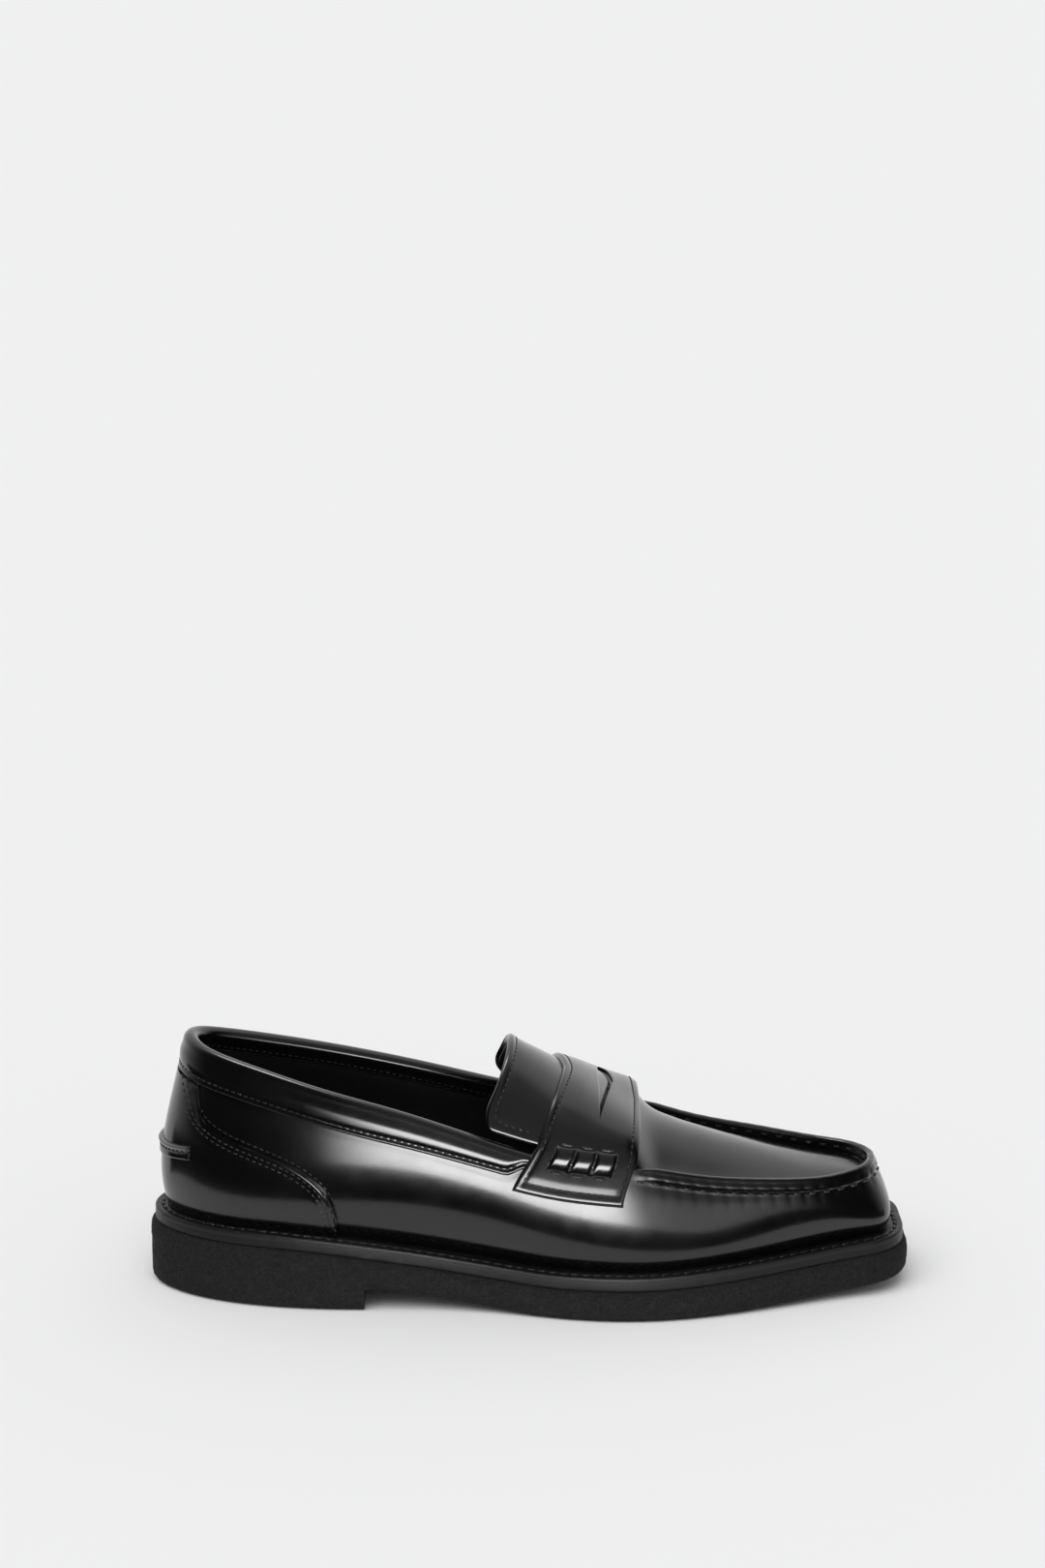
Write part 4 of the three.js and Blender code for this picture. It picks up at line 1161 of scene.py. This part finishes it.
def make_strap():
    """Two leaves of one strap, joined where the slot between them is closed."""
    end = np.array([0, 0.0012, 0.005, 0.011, 0.02, 0.034, 0.052, 0.075])
    gs = np.concatenate([-STRAP_END + end, np.linspace(-STRAP_END + 0.1, STRAP_END - 0.1, 91),
                         (STRAP_END - end)[::-1]])
    wide = strap_width(gs)
    rear_lip, front_lip = slot_edges(gs)
    opened = (front_lip - rear_lip) * (STRAP_FRONT_CREST - STRAP_REAR_CREST)
    is_open = opened > SLOT_SHUT
    points, faces = [], []
    for in_front, lip in ((False, rear_lip), (True, 1 - front_lip)):
        shares = leaf_shares(lip, wide)                 # counted from the leaf's own outer edge
        s = 1 - shares if in_front else shares
        g_grid = np.broadcast_to(gs[:, None], s.shape)
        outside = shares * wide[:, None]
        lip_distance = np.abs(shares - lip[:, None]) * wide[:, None]
        end_distance = (STRAP_END - np.abs(g_grid)) * SIDE_MM
        hem = np.minimum(outside, end_distance)
        lip_round = np.where(is_open[:, None], rounded(lip_distance + 0.12, 0.9), 1.0)
        lip_round = mix(1.0, lip_round, ramp(opened, SLOT_SHUT, 1.6)[:, None])
        dent = 0.28 * np.maximum(groove(outside, STRAP_SEAM, 0.6), groove(end_distance, STRAP_SEAM, 0.6)) \
            * ramp(end_distance, 1.6, 2.4) * ramp(outside, 1.6, 2.4)
        low = mix(0.25 - strap_lift(g_grid, s), STRAP - 1.1, ramp(hem, 3.0, 5.0))
        top = low + (STRAP - low) * rounded(hem, 0.8) * mix(0.6, 1, lip_round) - dent
        leaf = leaf_faces(*s.shape, is_open, 2 * s.size * in_front)
        faces += [face[::-1] for face in leaf] if in_front else leaf
        points += [strap_at(g_grid, s, depth).reshape(-1, 3) for depth in (top, low)]
    obj = make_object("saddle_strap", np.concatenate(points), faces, LEATHER_MAT)
    stand_in("saddle_strap")
    make_strap_backing()
    make_strap_stitching()


def make_strap_backing():
    """A thin leaf that backs the strap behind the slot, creased along the slot's front lip."""
    gs = np.linspace(-0.78, 0.78, 61)
    from_lip = np.array([-9, -7, -5.5, -4, -3, -2.2, -1.6, -1.25, -1, -0.8, -0.6, -0.4, -0.15, 0.15,
                         0.6, 1.5, 3])
    g_grid = np.broadcast_to(gs[:, None], (len(gs), len(from_lip)))
    s_grid = slot_edges(gs)[1][:, None] + from_lip / strap_width(gs)[:, None]
    crease = 1.7 * np.exp(-((from_lip + 0.55) / 0.42) ** 2)
    top = STRAP - 1.25 - crease
    obj = shell("strap_backing", strap_at(g_grid, s_grid, top),
                strap_at(g_grid, s_grid, np.minimum(top, STRAP - 1.6) - 0.3), LEATHER_MAT)


def strap_line(gs, ss, depth):
    points = strap_at(gs, ss, depth)
    return points, unit(strap_at(gs, ss, depth + 1.0) - points)


def make_strap_stitching():
    end = STRAP_END - STRAP_SEAM / SIDE_MM
    gs = np.linspace(-end, end, 150)
    wide = strap_width(gs)
    depth = STRAP - 0.22
    stitches = []
    for ss in (STRAP_SEAM / wide, 1 - STRAP_SEAM / wide):
        stitches += stitch_row(*strap_line(gs, ss, depth), **FINE)
    for g in (-end, end):
        share = STRAP_SEAM / strap_width(g)
        stitches += stitch_row(*strap_line(g, np.linspace(share, 1 - share, 60), depth), **FINE)
    stitched("strap_stitching", stitches, "strap_stitching")


ROLL_LOW, ROLL_HIGH = 1.08, 0.885
ROLL_REAR, ROLL_FRONT = 0.19, 0.81
LOBES = 3
ROLL_RISE = 1.9


def make_beef_roll(name, sign):
    """A stitched roll of leather on the strap: three plump lobes drawn in by threads."""
    s = np.linspace(ROLL_REAR, ROLL_FRONT, 76)
    g = np.linspace(ROLL_HIGH, ROLL_LOW, 22)
    g_grid, s_grid = np.meshgrid(g, s)
    across = np.clip((g_grid - ROLL_HIGH) / (ROLL_LOW - ROLL_HIGH), 0, 1)
    lobe_phase = (s_grid - ROLL_REAR) / (ROLL_FRONT - ROLL_REAR) * LOBES
    within = lobe_phase - np.floor(np.clip(lobe_phase, 0, LOBES - 1e-6))
    lobe_mm = (ROLL_FRONT - ROLL_REAR) * SIDE_MM / LOBES
    pinch_mm = np.minimum(within, 1 - within) * lobe_mm
    plump = 1 - 0.36 * np.exp(-(pinch_mm / 0.75) ** 2)
    profile = np.sin(math.pi * across) ** 0.75
    from_end = np.minimum(s_grid - ROLL_REAR, ROLL_FRONT - s_grid) * SIDE_MM
    ends = rounded(from_end + 0.3, 1.2)
    rise = ROLL_RISE * profile * plump * ends
    top = strap_at(sign * g_grid, s_grid, STRAP + 0.1 + rise)
    under = strap_at(sign * g_grid, s_grid, STRAP + 0.03)
    obj = shell(name, top, under, LEATHER_MAT)
    stand_in(name)
    stitches = []
    for k in range(LOBES + 1):
        gs = np.linspace(ROLL_HIGH + 0.01, ROLL_LOW - 0.01, 30)
        depth = STRAP + 0.1 + 1.15 * np.sin(math.pi * (gs - ROLL_HIGH) / (ROLL_LOW - ROLL_HIGH)) ** 0.75
        line = strap_line(sign * gs, mix(ROLL_REAR, ROLL_FRONT, k / LOBES), depth)
        stitches += stitch_row(*line, 3.2, 3.0, 0.36, 0.3)
    for g_edge in (ROLL_HIGH - 0.012, ROLL_LOW + 0.014):
        line = strap_line(sign * g_edge, np.linspace(ROLL_REAR, ROLL_FRONT, 90), STRAP)
        stitches += stitch_row(*line, 8.3, 5.6, 0.5, 0.6)
    return stitches


# ---------------- tongue
def tongue_rear(g):
    return TONGUE_REAR_CREST - np.where(g > 0, 10.5, 15.5) * g ** 2


UNDER_STRAP = 7.0             # how far the tongue runs on under the strap
CORNER = 8.5                  # radius of the tongue's lower corners
TONGUE_SEAM = 3.2             # seam's distance from the tongue's edge


def tongue_at(g, ahead, depth):
    """Point of the tongue by girth and distance in mm ahead of its rear edge."""
    g, ahead = arrays(g, ahead)
    x = tongue_rear(g) + ahead
    t = turn_at(x, np.abs(g), g > 0)
    return girth_at(t, np.abs(g), depth)


ARCH_MM = 34.0                # rough length of the arch from crest to rim


def tongue_grid(margin, columns):
    gs = np.concatenate([-TONGUE_REACH + np.array([0, 0.004, 0.012, 0.024, 0.04, 0.06]),
                         np.linspace(-TONGUE_REACH + 0.085, TONGUE_REACH - 0.085, 71),
                         TONGUE_REACH - np.array([0.06, 0.04, 0.024, 0.012, 0.004, 0])])
    gs = gs * (1 - margin / (ARCH_MM * TONGUE_REACH))
    low = np.maximum(0, CORNER - (TONGUE_REACH - np.abs(gs)) * ARCH_MM)
    start = margin + CORNER - np.sqrt(np.maximum(0, CORNER ** 2 - low ** 2))
    length = strap_rear(gs) - tongue_rear(gs) + UNDER_STRAP
    ahead = start[:, None] + columns * (length - start)[:, None]
    return gs, start, ahead


def make_tongue():
    """The tongue plug with its rolled rear edge."""
    columns = np.concatenate([[0, 0.004, 0.012, 0.024, 0.04, 0.06, 0.085, 0.115, 0.15],
                              np.linspace(0.2, 1, 20)])
    gs, start, ahead = tongue_grid(0.0, columns)
    g_grid = np.broadcast_to(gs[:, None], ahead.shape)
    from_rear = ahead - start[:, None]
    from_end = (TONGUE_REACH - np.abs(g_grid)) * ARCH_MM
    edge = rounded(np.minimum(from_rear, from_end + 0.05), 1.2)
    swell = 0.7 * np.exp(-((from_rear - 1.4) / 1.3) ** 2) * ramp(1 - np.abs(g_grid), 0.55, 0.9)
    dent = 0.28 * groove(np.minimum(from_rear, from_end), TONGUE_SEAM, 0.6) * ramp(from_end, 2.0, 3.5)
    under_edge = mix(-0.8, -LEATHER, ramp(np.minimum(from_rear, from_end), 0, 1.6))
    top = mix(under_edge, 0.1 + swell, edge) - dent
    outer = tongue_at(g_grid, ahead, top)
    under = tongue_at(g_grid, ahead, under_edge)
    obj = shell("tongue", outer, under, LEATHER_MAT, body=None)
    stand_in("tongue")
    bend(obj)
    make_tongue_lining()
    make_tongue_stitching()


def make_tongue_lining():
    gs, start, ahead = tongue_grid(1.4, np.linspace(0, 1, 24))
    g_grid = np.broadcast_to(gs[:, None], ahead.shape)
    roll = ramp(1 - np.abs(g_grid), 0.15, 0.55)
    from_rear = ahead - start[:, None]
    bulge = 1.1 * np.exp(-((from_rear - 2.2) / 2.0) ** 2) * roll
    obj = shell("tongue_lining", tongue_at(g_grid, ahead, -LEATHER - 0.1),
                tongue_at(g_grid, ahead, -LEATHER - 0.1 - LINING - bulge), LINING_MAT, body=None)
    stand_in("tongue_lining")
    bend(obj)


def bend(obj):
    """Bakes the piece's placement into its mesh."""
    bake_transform(obj)


def make_tongue_stitching():
    reach = TONGUE_REACH - TONGUE_SEAM / ARCH_MM
    gs = np.linspace(-reach, reach, 160)
    low = np.maximum(0, CORNER - (TONGUE_REACH - np.abs(gs)) * ARCH_MM)
    radius = CORNER - TONGUE_SEAM
    around = CORNER - np.sqrt(np.maximum(0, radius ** 2 - np.minimum(low, radius) ** 2))
    sides = np.linspace(CORNER, strap_rear(reach) - tongue_rear(reach), 40)
    stitches = []
    for g, ahead in ((gs, np.where(low > 0, around, TONGUE_SEAM)), (-reach, sides), (reach, sides)):
        points = tongue_at(g, ahead, 0.0)
        stitches += stitch_row(points, unit(tongue_at(g, ahead, 1.0) - points), **FINE)
    bend(stitched("tongue_stitching", stitches, "tongue_stitching", body=None))


# ---------------- the whole shoe
def make_shoe():
    dress_inner_nodes()
    make_outsole()
    make_heel_block()
    make_midsole()
    make_welt()
    make_insock()
    make_quarters()
    make_quarter_lining()
    make_counter_overlay()
    make_heel_tab()
    make_collar_band()
    make_vamp()
    make_apron()
    make_vamp_lining()
    make_strap()
    stitches = make_beef_roll("beef_roll_lateral", -1) + make_beef_roll("beef_roll_medial", 1)
    stitched("beef_roll_stitching", stitches)
    make_tongue()


# ---------------- studio
def glow_material():
    """Emission whose strength is stored on the card's points."""
    made = bpy.data.materials.new("reflector")
    made.use_nodes = True
    tree = made.node_tree
    tree.nodes.clear()
    glow, stored, out = (tree.nodes.new("ShaderNode" + kind)
                         for kind in ("Emission", "Attribute", "OutputMaterial"))
    glow.inputs["Color"].default_value = (1, 1, 1, 1)
    stored.attribute_name = "glow"
    tree.links.new(stored.outputs["Fac"], glow.inputs["Strength"])
    tree.links.new(glow.outputs["Emission"], out.inputs["Surface"])
    return made


def reflector(name, points, faces, glow, material):
    """A studio card that only shows in reflections; glow gives its brightness at each point."""
    mesh = bpy.data.meshes.new(name)
    mesh.from_pydata(points.tolist(), [], faces)
    mesh.materials.append(material)
    mesh.attributes.new("glow", "FLOAT", "POINT").data.foreach_set("value", glow.astype(np.float32))
    obj = add(name, mesh)
    for ray in ("camera", "diffuse", "shadow", "transmission", "volume_scatter"):
        setattr(obj, "visible_" + ray, False)


BLACK = 0.004                 # brightness of black card
SOFTBOX = 16.5                # brightness of the front softbox, against 1 for white paper
LAMP = 9.0                    # and of the lamp overhead
BACK_WHITE = 0.95             # of the white side behind the shoe
DIM = 0.28                    # of the wall over the softbox
DOME = 0.5                    # radius of the front reflector
FLOOR_CARD = 0.25, 0.098      # half axes of the floor card's near edge


def front_glow(azimuth, elevation):
    """Brightness seen around the shoe: black in front with a low softbox, white behind, a lamp above."""
    across = ramp(azimuth, -27, -8) * mix(0.1 * (1 - ramp(azimuth, 24, 56)), 1, 1 - ramp(azimuth, 9, 24))
    softbox = SOFTBOX * across * (1 - ramp(elevation, 13, 22))
    dim = DIM * ramp(azimuth, -16, -4) * (1 - ramp(azimuth, 30, 70)) * ramp(elevation, 12, 22)
    high = 0.4 * ramp(elevation, 50, 72) * ramp(azimuth, -60, 40)
    behind = BACK_WHITE * np.where(azimuth > 0, ramp(azimuth, 80, 128), ramp(-azimuth, 64, 118))
    flat = np.cos(np.radians(elevation))
    east, north = flat * np.sin(np.radians(azimuth)), -flat * np.cos(np.radians(azimuth))
    lamp = LAMP * ramp(east, -0.34, -0.26) * (1 - ramp(east, -0.1, 0)) * ramp(north, 0.02, 0.08) * (
        1 - ramp(north, 0.24, 0.32))
    return BLACK + softbox + np.maximum(dim, high) * (1 - behind) + behind + lamp


def make_reflectors():
    glowing = glow_material()
    azimuth, elevation = np.meshgrid(np.linspace(-180, 180, 121), np.linspace(0, 82, 42), indexing="ij")
    a, e = np.radians(azimuth), np.radians(elevation)
    points = DOME * np.stack([np.sin(a) * np.cos(e), -np.cos(a) * np.cos(e), np.sin(e)], -1).reshape(-1, 3)
    points[:, 2] += 0.002
    shade = front_glow(azimuth, elevation).reshape(-1)
    reflector("front_reflector", points, grid_faces(121, 42), shade, glowing)
    a, share = np.meshgrid(np.radians(np.linspace(-105, 105, 61)), np.linspace(0, 1, 4), indexing="ij")
    near = np.stack([FLOOR_CARD[0] * np.sin(a), -FLOOR_CARD[1] * np.cos(a)], -1)
    far = DOME * np.stack([np.sin(a), -np.cos(a)], -1)
    flat = mix(near, far, share[..., None])
    points = np.concatenate([flat, np.full(flat.shape[:2] + (1,), 0.0012)], -1).reshape(-1, 3)
    reflector("floor_reflector", points, grid_faces(61, 4), np.full(len(points), BLACK), glowing)


def make_studio():
    scene = bpy.context.scene
    scene.view_settings.view_transform = "Standard"
    world = bpy.data.worlds.new("soft_white")
    scene.world = world
    world.use_nodes = True
    sky = world.node_tree.nodes["Background"]
    sky.inputs["Color"].default_value = (0.985, 0.99, 1, 1)
    sky.inputs["Strength"].default_value = 0.52

    floor_mesh = bpy.data.meshes.new("floor")
    size = 200.0
    floor_mesh.from_pydata([(-size, -size, 0), (size, -size, 0), (size, size, 0), (-size, size, 0)], [],
                           [(0, 1, 2, 3)])
    floor = add("floor", floor_mesh)
    paper = bpy.data.materials.new("floor_paper")
    paper.use_nodes = True
    shader = paper.node_tree.nodes["Principled BSDF"]
    shader.inputs["Base Color"].default_value = (0.895, 0.895, 0.895, 1)
    shader.inputs["Roughness"].default_value = 1.0
    shader.inputs["Specular IOR Level"].default_value = 0.0
    floor_mesh.materials.append(paper)

    key = bpy.data.lights.new("key", "SUN")
    key.energy = 1.62
    key.angle = math.radians(60)
    lamp = add("key", key)
    lamp.rotation_euler = (math.radians(24), math.radians(-12), 0)
    lamp.visible_glossy = False
    make_reflectors()


def make_camera():
    data = bpy.data.cameras.new("camera")
    data.lens = 85
    data.sensor_width = 36
    data.clip_end = 200
    camera = add("camera", data)
    camera.location = (0.0, -1.3761, 0.57323)
    camera.rotation_euler = (math.radians(74.896), 0, math.radians(0.105))
    bpy.context.scene.camera = camera


make_camera()
make_studio()
make_shoe()
bpy.context.view_layer.update()
